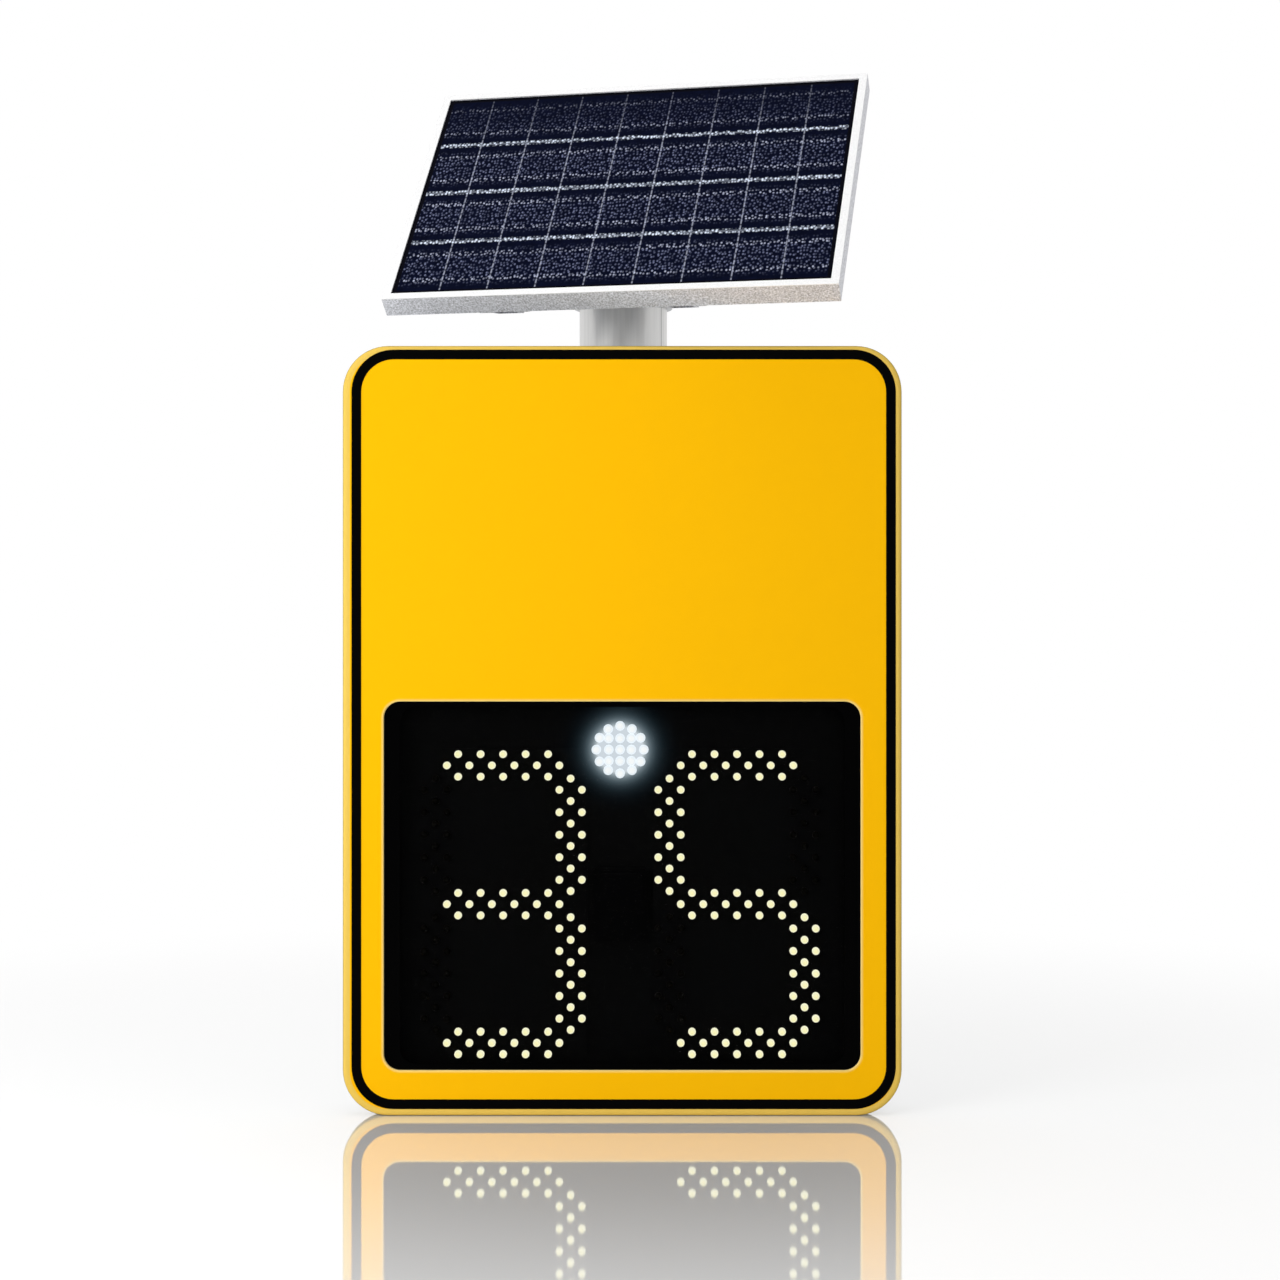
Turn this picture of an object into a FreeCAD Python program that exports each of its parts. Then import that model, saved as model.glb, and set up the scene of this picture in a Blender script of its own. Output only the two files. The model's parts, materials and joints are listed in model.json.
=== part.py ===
import FreeCAD, Part
import math
import os
from types import SimpleNamespace

import Sketcher

# Radar speed sign on the upper end of a pole, with a solar panel on a swivel and tilt mount.
# +Z is up and the sign faces -Y. The origin is the centre of the pole's open lower end.
# "Ahead" is a distance in front of the pole's axis, so a point that is ahead by a has y = -a.

DRIVING_SIZES = (
    # Pole and clamps
    ("pole_diameter", 101.6, "outside of the pole"),
    ("pole_wall", 3.2, "wall of the pole"),
    ("pole_height", 942.0, "length of the pole"),
    ("pole_gap", 0.2, "gap between the pole and what grips it"),
    ("saddle_gap", 6.0, "bracket web to the front of the pole"),
    ("saddle_width", 80.0, "width of a saddle"),
    ("saddle_depth", 20.0, "depth of a saddle from the bracket web"),
    ("clamp_height", 40.0, "height of a saddle and of a clamp strap"),
    ("clamp_sheet", 4.0, "thickness of a clamp strap"),
    ("clamp_bolt_diameter", 10.0, "clamp bolts"),
    ("clamp_bolt_offset", 16.0, "clamp bolt centre beyond the strap's side"),
    ("bolt_gap", 0.5, "radial clearance of a bolt hole"),
    ("bracket_depth", 30.0, "cabinet's back to the rear of a bracket"),
    ("bracket_sheet", 4.0, "thickness of a bracket"),
    ("bracket_length", 190.0, "length of a bracket"),
    ("bracket_height", 56.0, "height of a bracket's web"),
    ("bracket_foot", 18.0, "height of a bracket's foot"),
    ("bracket_inset", 170.0, "bracket centre from the cabinet's top or bottom"),
    # Cabinet
    ("cabinet_depth", 82.0, "depth of the cabinet"),
    ("cabinet_inset", 15.0, "cabinet's side behind the edge of the face"),
    ("cabinet_sheet", 2.0, "wall of the cabinet"),
    ("cabinet_lip", 6.0, "inward lip round the cabinet's front"),
    ("seal_thickness", 4.0, "door seal between the lip and the face"),
    ("seal_width", 5.0, "width of the door seal"),
    ("seal_inset", 1.0, "door seal's edge inside the cabinet's edge"),
    ("gland_diameter", 16.0, "cable gland's neck"),
    ("gland_rise", 60.0, "cable gland above the cabinet's bottom"),
    ("gland_side", 120.0, "cable gland beside the pole's axis"),
    # Face and window
    ("face_width", 610.0, "width of the face"),
    ("face_height", 840.0, "height of the face"),
    ("face_corner", 50.0, "corner radius of the face"),
    ("face_sheet", 3.0, "sheet of the face"),
    ("face_flange", 24.0, "depth of the face with its turned-back flange"),
    ("face_edge_radius", 5.0, "bend at the edge of the face"),
    ("window_margin", 45.0, "side of the window from the edge of the face"),
    ("window_bottom", 50.0, "bottom of the window above the bottom of the face"),
    ("window_height", 402.0, "height of the window"),
    ("window_corner", 18.0, "corner radius of the window"),
    ("window_bevel", 1.0, "bevel on the window's edge"),
    ("pane_overlap", 8.0, "pane beyond the window's edge"),
    ("pane_thickness", 4.0, "clear pane"),
    ("pane_seal", 2.0, "seal between the pane and the face"),
    ("retainer_thickness", 2.0, "ring behind the pane"),
    # Display
    ("standoff_length", 21.8, "face to the display carrier"),
    ("standoff_diameter", 8.0, "carrier standoffs, across corners"),
    ("standoff_inset", 7.5, "standoff centre from the carrier's top or bottom"),
    ("standoff_side", 20.0, "standoff centre from the carrier's side"),
    ("carrier_sheet", 1.5, "display carrier plate"),
    ("carrier_side", 2.0, "carrier beyond the window's side"),
    ("carrier_head", 31.0, "carrier above the window's top"),
    ("carrier_gap", 2.0, "carrier above the cabinet's lip"),
    ("carrier_corner", 12.0, "corner radius of the carrier, clear of the lip's corner as the door swings"),
    ("board_thickness", 1.6, "circuit boards"),
    ("board_margin", 2.0, "circuit board beyond its lenses"),
    ("board_gap", 2.8, "gap between circuit boards"),
    ("led_pitch", 24.72, "pitch of the lenses along a line of a segment"),
    ("led_diameter", 8.3, "lenses of the digits"),
    ("strobe_led_diameter", 9.8, "lenses of the strobe"),
    ("led_length", 10.5, "length of a lens"),
    ("row_extra", 4.1, "spacing of the digit rows beyond twelve half pitches"),
    ("display_side", 2.5, "middle of the display to the left of the face's middle"),
    ("digit_rise", 178.8, "middle row of the digits above the window's bottom"),
    ("strobe_rise", 348.6, "strobe centre above the window's bottom"),
    ("strobe_grid", 12.4, "pitch of the strobe's inner lenses"),
    ("strobe_ring", 26.1, "radius of the strobe's ring of lenses"),
    ("radar_gap", 2.5, "radar module to the strobe board's width"),
    ("radar_height", 80.0, "height of the radar module"),
    ("radar_depth", 9.0, "depth of the radar module's case"),
    ("radome_depth", 3.0, "depth of the radar module's window"),
    ("radome_inset", 6.0, "radar window inside the edge of the case"),
    ("radar_corner", 6.0, "corner radius of the radar module"),
    # Hinges and locks
    ("hinge_length", 80.0, "length of a hinge"),
    ("hinge_leaf", 2.0, "leaf of a hinge"),
    ("hinge_leaf_width", 19.0, "width of a hinge leaf"),
    ("hinge_knuckle", 9.0, "outside of a hinge knuckle"),
    ("hinge_middle", 40.0, "length of the door's knuckle"),
    ("hinge_pin_diameter", 5.0, "hinge pins"),
    ("hinge_pin_gap", 0.1, "radial clearance of a hinge pin"),
    ("hinge_gap", 0.5, "gap beside a turning knuckle"),
    ("hinge_behind", 6.8, "hinge line behind the flange of the face"),
    ("hinge_inset", 150.0, "hinge centre from the cabinet's top or bottom"),
    ("lock_inset", 110.0, "lock from the cabinet's top or bottom"),
    ("lock_behind", 22.0, "lock axis behind the flange of the face"),
    ("lock_barrel_diameter", 18.0, "barrel of a lock"),
    ("lock_barrel_gap", 0.2, "radial clearance of a lock barrel in the wall"),
    ("lock_head_diameter", 24.0, "head of a lock"),
    ("lock_head", 4.5, "head of a lock, outside the wall"),
    ("lock_nut", 5.0, "nut of a lock, inside the wall"),
    ("lock_plug_diameter", 10.0, "turning plug of a lock"),
    ("lock_plug_gap", 0.1, "radial clearance of a lock's plug"),
    ("cam_length", 30.0, "lock axis to the tip of the cam"),
    ("cam_width", 12.0, "width of the cam"),
    ("cam_sheet", 3.0, "thickness of the cam"),
    ("cam_gap", 1.0, "gap beside the cam"),
    ("keeper_rise", 18.0, "keeper above the lock axis"),
    ("keeper_sheet", 3.0, "thickness of a keeper"),
    ("keeper_gap", 1.5, "gap beside a keeper"),
    ("keeper_bar", 11.0, "bar of a keeper behind the cam"),
    ("keeper_foot", 20.0, "height of a keeper's foot"),
    ("keeper_foot_sheet", 2.0, "thickness of a keeper's foot"),
    # Inside the cabinet
    ("battery_width", 181.0, "width of the battery"),
    ("battery_depth", 74.0, "depth of the battery"),
    ("battery_height", 155.0, "height of the battery's case"),
    ("battery_lid", 8.0, "height of the battery's lid"),
    ("battery_lid_inset", 2.0, "battery's lid inside its case"),
    ("battery_corner", 4.0, "corner radius of the battery"),
    ("battery_side", 60.0, "battery from the cabinet's side wall"),
    ("terminal_width", 12.0, "battery terminals"),
    ("terminal_height", 7.0, "height of the battery terminals"),
    ("terminal_inset", 24.0, "terminal centre from the battery's end"),
    ("shelf_rise", 46.0, "shelf above the window's top"),
    ("shelf_sheet", 3.0, "battery shelf"),
    ("shelf_margin", 6.0, "shelf beyond the battery's sides"),
    ("strap_sheet", 1.5, "battery strap"),
    ("strap_width", 25.0, "width of the battery strap"),
    ("strap_foot", 16.0, "foot of the battery strap"),
    ("strap_gap", 0.3, "battery strap to the battery"),
    ("controller_width", 160.0, "controller board"),
    ("controller_height", 110.0, "controller board"),
    ("controller_side", 40.0, "controller board from the cabinet's side wall"),
    ("controller_rise", 10.0, "controller board above the shelf"),
    ("pillar_length", 10.0, "pillars under the controller board"),
    ("pillar_diameter", 7.0, "pillars under the controller board"),
    ("pillar_inset", 8.0, "pillar centre from the board's edges"),
    ("charger_width", 110.0, "charge controller"),
    ("charger_height", 72.0, "charge controller"),
    ("charger_depth", 30.0, "charge controller with its fins"),
    ("charger_gap", 30.0, "charge controller above the controller board"),
    ("fin_depth", 14.0, "depth between the charge controller's fins"),
    ("fin_pitch", 8.0, "pitch of the charge controller's fins"),
    ("fin_slot", 5.0, "gap between the charge controller's fins"),
    # Pole cap and tilt mount
    ("cap_sleeve", 38.0, "cap's sleeve down over the pole"),
    ("cap_wall", 6.0, "wall and roof of the cap"),
    ("set_screw_diameter", 8.0, "set screws in the sleeve"),
    ("set_screw_rise", 18.0, "set screws above the sleeve's lower end"),
    ("set_screw_head", 5.0, "set screws beyond the sleeve"),
    ("pivot_rise", 46.0, "tilt pivot above the cap"),
    ("ear_sheet", 6.0, "ears of the cap"),
    ("ear_spacing", 54.0, "gap between the ears"),
    ("ear_radius", 16.0, "round top of an ear"),
    ("pivot_bolt_diameter", 10.0, "tilt pivot bolt"),
    ("lock_bolt_diameter", 8.0, "tilt lock bolt"),
    ("lock_bolt_radius", 34.0, "tilt lock bolt below the pivot"),
    ("mount_gap", 0.5, "gap between the ears and the lugs"),
    ("panel_yaw", 13.0, "panel's turn about the pole, in degrees"),
    ("panel_tilt", 50.0, "panel's tilt from level, in degrees"),
    ("tilt_low", 15.0, "least tilt that the slots allow, in degrees"),
    ("tilt_high", 65.0, "greatest tilt that the slots allow, in degrees"),
    ("lug_sheet", 5.0, "lugs of the tilt bracket"),
    ("lug_radius", 43.5, "round edge of a lug"),
    ("bracket_plate_width", 262.0, "plate of the tilt bracket"),
    ("bracket_plate_height", 80.0, "plate of the tilt bracket"),
    ("bracket_plate_sheet", 4.0, "plate of the tilt bracket"),
    ("pivot_to_plate", 21.0, "tilt pivot to the tilt bracket's plate"),
    # Solar panel
    ("strut_depth", 20.0, "support struts"),
    ("strut_sheet", 2.5, "support struts"),
    ("strut_width", 30.0, "web of a support strut"),
    ("strut_foot", 14.0, "foot of a support strut"),
    ("strut_spacing", 200.0, "centres of the support struts"),
    ("strut_end_gap", 2.0, "support strut's end inside the frame's edge"),
    ("panel_width", 514.0, "solar panel"),
    ("panel_height", 364.0, "solar panel"),
    ("panel_offset", 20.0, "panel's centre beside the tilt bracket's centre"),
    ("frame_depth", 25.0, "panel's frame"),
    ("frame_sheet", 1.8, "wall of the frame"),
    ("frame_lip", 9.0, "lip of the frame over the glass"),
    ("frame_foot", 20.0, "foot flange of the frame"),
    ("laminate_thickness", 4.0, "glass laminate with its cells"),
    ("laminate_gap", 0.2, "laminate in the frame's groove"),
    ("junction_width", 96.0, "junction box on the panel's back"),
    ("junction_height", 62.0, "junction box on the panel's back"),
    ("junction_depth", 16.0, "junction box on the panel's back"),
    ("junction_corner", 8.0, "corner radius of the junction box"),
    ("junction_lid", 4.0, "lid of the junction box"),
    ("junction_lid_inset", 4.0, "lid inside the junction box's edge"),
    ("junction_rise", 112.0, "junction box above the panel's centre"),
)

# Proportions of hexagon fasteners to their thread
HEX_CORNER = 0.92
HEX_HEAD = 0.65
HEX_NUT = 0.8
FASTENER_FIT = 0.1

# How far past the window an edge may reach and still be taken for the window's own
EDGE_SLACK = 1.0

LENS_SIDES = 6
SEGMENT_MIDDLE_LINE = (-5, -3, -1, 1, 3, 5)
SEGMENT_OUTER_LINE = (-4, -2, 0, 2, 4)
SEGMENT_HALF_SPAN = 6
SEGMENT_LINE_STEP = 1
STROBE_RING_COUNT = 12
SET_SCREW_COUNT = 3

# Yaw, pitch and roll that turn a shape's own Z axis to a direction
UP = (0, 0, 0)
RIGHT = (0, 90, 0)
LEFT = (0, -90, 0)
AHEAD = (0, 0, 90)
BACK = (0, 0, -90)

document = FreeCAD.newDocument("radar_speed_sign")
sheet = document.addObject("Spreadsheet::Sheet", "Sizes")
sub_parts = []


class Size:
    """A size that carries its number and the spreadsheet expression that gives it."""

    def __init__(self, text, value):
        self.text = text
        self.value = float(value)

    def __add__(self, other):
        other = as_size(other)
        return Size(f"({self.text} + {other.text})", self.value + other.value)

    def __radd__(self, other):
        return as_size(other) + self

    def __sub__(self, other):
        other = as_size(other)
        return Size(f"({self.text} - {other.text})", self.value - other.value)

    def __rsub__(self, other):
        return as_size(other) - self

    def __mul__(self, other):
        other = as_size(other)
        return Size(f"({self.text} * {other.text})", self.value * other.value)

    def __rmul__(self, other):
        return as_size(other) * self

    def __truediv__(self, other):
        other = as_size(other)
        return Size(f"({self.text} / {other.text})", self.value / other.value)

    def __neg__(self):
        return 0 - self


def as_size(number):
    """Gives a plain number the form of a size."""
    return number if isinstance(number, Size) else Size(f"({float(number)})", number)


def read_sizes():
    """Fills the spreadsheet and returns its cells by name."""
    for row, (alias, number, meaning) in enumerate(DRIVING_SIZES, start=1):
        sheet.set(f"A{row}", alias)
        sheet.set(f"B{row}", str(number))
        sheet.set(f"C{row}", meaning)
        sheet.setAlias(f"B{row}", alias)
    document.recompute()
    names = [alias for alias, _, _ in DRIVING_SIZES]
    return SimpleNamespace(**{name: Size(f"Sizes.{name}", sheet.get(name)) for name in names})


d = read_sizes()

# Places that several pieces share
pole_radius = d.pole_diameter / 2
web_ahead = pole_radius + d.saddle_gap
cabinet_back = web_ahead + d.bracket_depth
cabinet_floor = cabinet_back + d.cabinet_sheet
cabinet_front = cabinet_back + d.cabinet_depth
face_inside = cabinet_front + d.seal_thickness
face_front = face_inside + d.face_sheet
flange_rear = face_front - d.face_flange

cabinet_width = d.face_width - 2 * d.cabinet_inset
cabinet_height = d.face_height - 2 * d.cabinet_inset
cabinet_corner = d.face_corner - d.cabinet_inset
cabinet_bottom = d.cabinet_inset
cabinet_top = d.face_height - d.cabinet_inset
cabinet_middle = d.face_height / 2
lip_reach = d.cabinet_sheet + d.cabinet_lip
opening_half = cabinet_width / 2 - lip_reach

window_width = d.face_width - 2 * d.window_margin
window_middle = d.window_bottom + d.window_height / 2
window_top = d.window_bottom + d.window_height
pane_front = face_inside - d.pane_seal
pane_rear = pane_front - d.pane_thickness
pane_half = window_width / 2 + d.pane_overlap

carrier_front = face_inside - d.standoff_length
carrier_bottom = cabinet_bottom + lip_reach + d.carrier_gap
carrier_top = window_top + d.carrier_head
carrier_width = window_width + 2 * d.carrier_side
lens_base = carrier_front + d.board_thickness

half_pitch = d.led_pitch / 2
lens_radius = d.led_diameter / 2
strobe_lens_radius = d.strobe_led_diameter / 2
digit_rows = 2 * SEGMENT_HALF_SPAN * half_pitch + d.row_extra
board_edge = lens_radius + d.board_margin
board_half_width = (SEGMENT_HALF_SPAN + SEGMENT_LINE_STEP) * half_pitch + board_edge
board_half_height = digit_rows + SEGMENT_LINE_STEP * half_pitch + board_edge
strobe_radius = d.strobe_ring + strobe_lens_radius + d.board_margin
digit_offset = strobe_radius + d.board_gap + board_half_width
digit_middle = d.window_bottom + d.digit_rise
display_middle = -d.display_side
strobe_middle = d.window_bottom + d.strobe_rise

hinge_radius = d.hinge_knuckle / 2
hinge_side = d.hinge_leaf + hinge_radius + d.hinge_gap
hinge_x = -(cabinet_width / 2 + hinge_side)
hinge_ahead = flange_rear - d.hinge_behind
hinge_heights = (cabinet_bottom + d.hinge_inset, cabinet_top - d.hinge_inset)

lock_ahead = flange_rear - d.lock_behind
lock_heights = {"lower": cabinet_bottom + d.lock_inset, "upper": cabinet_top - d.lock_inset}
keeper_outer = opening_half - d.keeper_gap
keeper_inner = pane_half + d.keeper_gap
cam_outer = keeper_outer - d.cam_gap
bracket_heights = {"lower": cabinet_bottom + d.bracket_inset, "upper": cabinet_top - d.bracket_inset}
clamp_inner = pole_radius + d.pole_gap
clamp_outer = clamp_inner + d.clamp_sheet
clamp_bolt_x = clamp_outer + d.clamp_bolt_offset

shelf_top = window_top + d.shelf_rise
cabinet_side = cabinet_width / 2 - d.cabinet_sheet
battery_x = d.battery_side + d.battery_width / 2 - cabinet_side
battery_ahead = cabinet_floor + d.battery_depth / 2

pivot_height = d.pole_height + d.cap_wall + d.pivot_rise
lug_inner = d.ear_spacing / 2 + d.ear_sheet + d.mount_gap
lug_outer = lug_inner + d.lug_sheet
strut_top = d.pivot_to_plate + d.bracket_plate_sheet
frame_back = strut_top + d.strut_depth
frame_front = frame_back + d.frame_depth
laminate_front = frame_front - d.frame_sheet - d.laminate_gap / 2
laminate_back = laminate_front - d.laminate_thickness


def placement_text(at=(0, 0, 0), turn=UP):
    """Writes a placement as an expression, from a place and a yaw, pitch and roll."""
    vector = "; ".join(as_size(number).text for number in at)
    angles = "; ".join(as_size(number).text for number in turn)
    return f"create(<<placement>>; create(<<vector>>; {vector}); create(<<rotation>>; {angles}))"


swivel_frame = placement_text(turn=(-d.panel_yaw, 0, 0))
panel_frame = placement_text(at=(0, 0, pivot_height), turn=(-d.panel_yaw, 0, d.panel_tilt))


def place(thing, at=(0, 0, 0), turn=UP, frame=None):
    """Binds where a thing stands, within a turned frame if there is one."""
    text = placement_text(at, turn)
    thing.setExpression("Placement", f"{frame} * {text}" if frame else text)
    return thing


def bind(thing, **sizes):
    """Binds properties of a thing to sizes."""
    for name, number in sizes.items():
        thing.setExpression(name, as_size(number).text)
    return thing


def keep(thing, label):
    """Names a finished sub-part and puts it on the list of what is written."""
    thing.Label = label
    sub_parts.append(thing)
    return thing


# Solids from primitives

def box(x, y, z, frame=None):
    """A block between two bounds on each axis."""
    block = document.addObject("Part::Box", "block")
    bind(block, Length=x[1] - x[0], Width=y[1] - y[0], Height=z[1] - z[0])
    return place(block, (x[0], y[0], z[0]), frame=frame)


def slab(x, ahead, z):
    """A block given by how far ahead of the pole it starts and ends."""
    return box(x, (-as_size(ahead[1]), -as_size(ahead[0])), z)


def cylinder(radius, length, at=(0, 0, 0), turn=UP, frame=None, sweep=360):
    """A round bar, or a part of one, from a place along a direction."""
    bar = document.addObject("Part::Cylinder", "bar")
    bind(bar, Radius=radius, Height=length, Angle=sweep)
    return place(bar, at, turn, frame)


def prism(circumradius, length, at=(0, 0, 0), turn=UP, frame=None):
    """A hexagon bar from a place along a direction."""
    bar = document.addObject("Part::Prism", "hexagon")
    bar.Polygon = 6
    bind(bar, Circumradius=circumradius, Height=length)
    return place(bar, at, turn, frame)


def fuse(*pieces):
    """Joins solids into one."""
    whole = document.addObject("Part::MultiFuse", "joined")
    whole.Shapes = list(pieces)
    return whole


def cut(base, *tools):
    """Takes tools away from a solid."""
    rest = document.addObject("Part::Cut", "cut")
    rest.Base = base
    rest.Tool = tools[0] if len(tools) == 1 else fuse(*tools)
    return rest


def group(pieces):
    """Holds like solids together as one sub-part."""
    bundle = document.addObject("Part::Compound", "group")
    bundle.Links = list(pieces)
    return bundle


def hex_bolt(diameter, length, at, turn, frame=None):
    """A hexagon bolt with the seat of its head at a place, its shank along a direction."""
    shank = cylinder(diameter / 2, length)
    head = prism(HEX_CORNER * diameter, HEX_HEAD * diameter, (0, 0, -HEX_HEAD * diameter))
    return place(fuse(shank, head), at, turn, frame)


def hex_nut(diameter, at, turn, frame=None):
    """A hexagon nut that starts at a place."""
    blank = prism(HEX_CORNER * diameter, HEX_NUT * diameter)
    bore = cylinder(diameter / 2 + FASTENER_FIT, HEX_NUT * diameter)
    return place(cut(blank, bore), at, turn, frame)


# Sketches and features of a body

def new_body(label):
    """A body that becomes one sub-part."""
    return keep(document.addObject("PartDesign::Body", "body"), label)


def origin_feature(body, role):
    """One of a body's origin planes or axes."""
    return next(feature for feature in body.Origin.OriginFeatures if feature.Role == role)


def new_sketch(body, plane, shift=(0, 0, 0)):
    """An empty sketch on an origin plane, shifted along its own x, y and normal."""
    sketch = body.newObject("Sketcher::SketchObject", "sketch")
    sketch.AttachmentSupport = [(origin_feature(body, plane), "")]
    sketch.MapMode = "FlatFace"
    for axis, number in zip("xyz", shift):
        sketch.setExpression(f"AttachmentOffset.Base.{axis}", as_size(number).text)
    return sketch


def front_sketch(body, ahead, x=0, z=0):
    """A sketch that faces forward, a distance ahead of the pole's axis."""
    return new_sketch(body, "XZ_Plane", (x, z, ahead))


def constrain(sketch, kind, *place_and_size):
    """Adds a constraint, and binds it where its last value is a size."""
    *geometry, number = place_and_size
    if not isinstance(number, Size):
        sketch.addConstraint(Sketcher.Constraint(kind, *place_and_size))
        return
    index = sketch.addConstraint(Sketcher.Constraint(kind, *geometry, number.value))
    sketch.setExpression(f"Constraints[{index}]", number.text)


def pin_point(sketch, geometry, end, x, y):
    """Ties a point of a sketch to its place, measured from the sketch's origin."""
    for kind, axis, number in (("DistanceX", -2, as_size(x)), ("DistanceY", -1, as_size(y))):
        if abs(number.value) < 1e-9:
            constrain(sketch, "PointOnObject", geometry, end, axis)
        elif number.value > 0:
            constrain(sketch, kind, -1, 1, geometry, end, number)
        else:
            constrain(sketch, kind, geometry, end, -1, 1, -number)


def draw_circle(sketch, radius, x=0, y=0):
    """Adds a circle."""
    centre = FreeCAD.Vector(as_size(x).value, as_size(y).value, 0)
    circle = Part.Circle(centre, FreeCAD.Vector(0, 0, 1), radius.value)
    index = sketch.addGeometry(circle)
    pin_point(sketch, index, 3, x, y)
    constrain(sketch, "Radius", index, radius)


def draw_polygon(sketch, points):
    """Adds a closed outline of straight lines."""
    corners = [FreeCAD.Vector(as_size(x).value, as_size(y).value, 0) for x, y in points]
    ends = corners[1:] + corners[:1]
    lines = [sketch.addGeometry(Part.LineSegment(a, b)) for a, b in zip(corners, ends)]
    for line, following in zip(lines, lines[1:] + lines[:1]):
        constrain(sketch, "Coincident", line, 2, following, 1)
    for line, (x, y) in zip(lines, points):
        pin_point(sketch, line, 1, x, y)


def draw_rounded(sketch, width, height, radius):
    """Adds a rectangle with round corners, centred on the sketch's origin."""
    w = as_size(width).value / 2
    h = as_size(height).value / 2
    r = as_size(radius).value
    straight = (
        ((r - w, -h), (w - r, -h)),
        ((w, r - h), (w, h - r)),
        ((w - r, h), (r - w, h)),
        ((-w, h - r), (-w, r - h)),
    )
    centres = ((w - r, r - h), (w - r, h - r), (r - w, h - r), (r - w, r - h))
    lines = []
    arcs = []
    for quarter, ((start, end), centre) in enumerate(zip(straight, centres)):
        line = Part.LineSegment(FreeCAD.Vector(*start, 0), FreeCAD.Vector(*end, 0))
        circle = Part.Circle(FreeCAD.Vector(*centre, 0), FreeCAD.Vector(0, 0, 1), r)
        turn = math.radians(90 * quarter)
        lines.append(sketch.addGeometry(line))
        arcs.append(sketch.addGeometry(Part.ArcOfCircle(circle, turn - math.pi / 2, turn)))
    for line, arc, following in zip(lines, arcs, lines[1:] + lines[:1]):
        constrain(sketch, "Tangent", line, 2, arc, 1)
        constrain(sketch, "Tangent", arc, 2, following, 1)
    for line, kind in zip(lines, ("Horizontal", "Vertical", "Horizontal", "Vertical")):
        constrain(sketch, kind, line)
    for arc in arcs[1:]:
        constrain(sketch, "Equal", arcs[0], arc)
    constrain(sketch, "Symmetric", lines[0], 1, lines[2], 1, -1, 1)
    constrain(sketch, "Radius", arcs[0], radius)
    constrain(sketch, "DistanceX", lines[3], 1, lines[1], 1, width)
    constrain(sketch, "DistanceY", lines[0], 1, lines[2], 1, height)


def draw_tab(sketch, radius, height):
    """Adds an upright tab with its foot on the sketch's x axis and a round top."""
    r = radius.value
    top = height.value
    corners = [FreeCAD.Vector(x, y, 0) for x, y in ((-r, top), (-r, 0), (r, 0), (r, top))]
    left, foot, right = (
        sketch.addGeometry(Part.LineSegment(a, b)) for a, b in zip(corners, corners[1:])
    )
    circle = Part.Circle(FreeCAD.Vector(0, top, 0), FreeCAD.Vector(0, 0, 1), r)
    arc = sketch.addGeometry(Part.ArcOfCircle(circle, 0, math.pi))
    constrain(sketch, "Coincident", left, 2, foot, 1)
    constrain(sketch, "Coincident", foot, 2, right, 1)
    constrain(sketch, "Tangent", right, 2, arc, 1)
    constrain(sketch, "Tangent", arc, 2, left, 1)
    constrain(sketch, "Vertical", left)
    constrain(sketch, "Vertical", right)
    constrain(sketch, "Horizontal", foot)
    constrain(sketch, "PointOnObject", foot, 1, -1)
    constrain(sketch, "PointOnObject", arc, 3, -2)
    constrain(sketch, "Radius", arc, radius)
    constrain(sketch, "DistanceY", -1, 1, arc, 3, height)


def draw_segment(sketch, radius, chord):
    """Adds the part of a disc that lies below a level chord."""
    half = math.sqrt(radius.value**2 - chord.value**2)
    circle = Part.Circle(FreeCAD.Vector(0, 0, 0), FreeCAD.Vector(0, 0, 1), radius.value)
    rise = math.atan2(chord.value, half)
    arc = sketch.addGeometry(Part.ArcOfCircle(circle, math.pi - rise, 2 * math.pi + rise))
    ends = (FreeCAD.Vector(half, chord.value, 0), FreeCAD.Vector(-half, chord.value, 0))
    line = sketch.addGeometry(Part.LineSegment(*ends))
    constrain(sketch, "Coincident", arc, 2, line, 1)
    constrain(sketch, "Coincident", line, 2, arc, 1)
    constrain(sketch, "Coincident", arc, 3, -1, 1)
    constrain(sketch, "Horizontal", line)
    constrain(sketch, "Radius", arc, radius)
    constrain(sketch, "DistanceY", -1, 1, line, 1, chord)


def pad(body, sketch, length, symmetric=False):
    """Grows a sketch along its normal, or to both sides."""
    feature = body.newObject("PartDesign::Pad", "pad")
    feature.Profile = sketch
    feature.SideType = "Symmetric" if symmetric else "One side"
    bind(feature, Length=length)
    body.Tip = feature
    return feature


def pocket(body, sketch, length=None, along=False):
    """Cuts a sketch against its normal, along it, or right through to both sides."""
    document.recompute()
    before = body.Shape.Volume
    feature = body.newObject("PartDesign::Pocket", "pocket")
    feature.Profile = sketch
    feature.Reversed = along
    if length is None:
        feature.Type = "ThroughAll"
        feature.SideType = "Symmetric"
    else:
        bind(feature, Length=length)
    body.Tip = feature
    document.recompute()
    if body.Shape.Volume >= before:
        raise RuntimeError(f"a pocket of {body.Label} cuts nothing")
    return feature


def soften(body, kind, chosen, **sizes):
    """Fillets or chamfers the edges of a body that a test picks."""
    document.recompute()
    base = body.Tip
    edges = [f"Edge{i}" for i, edge in enumerate(base.Shape.Edges, start=1) if chosen(edge)]
    feature = body.newObject(f"PartDesign::{kind}", kind.lower())
    feature.Base = (base, edges)
    bind(feature, **sizes)
    body.Tip = feature


def lies_at_y(edge, y):
    """Whether an edge lies wholly in the plane of a given y."""
    bounds = edge.BoundBox
    return abs(bounds.YMin - y) < 1e-3 and abs(bounds.YMax - y) < 1e-3


def plate(label, width, height, corner, middle, ahead, thickness, opening=None):
    """A flat plate that faces forward, with round corners and perhaps a rounded opening."""
    body = new_body(label)
    sketch = front_sketch(body, ahead, *middle)
    draw_rounded(sketch, width, height, corner)
    if opening:
        draw_rounded(sketch, *opening)
    pad(body, sketch, thickness)
    return body


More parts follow.
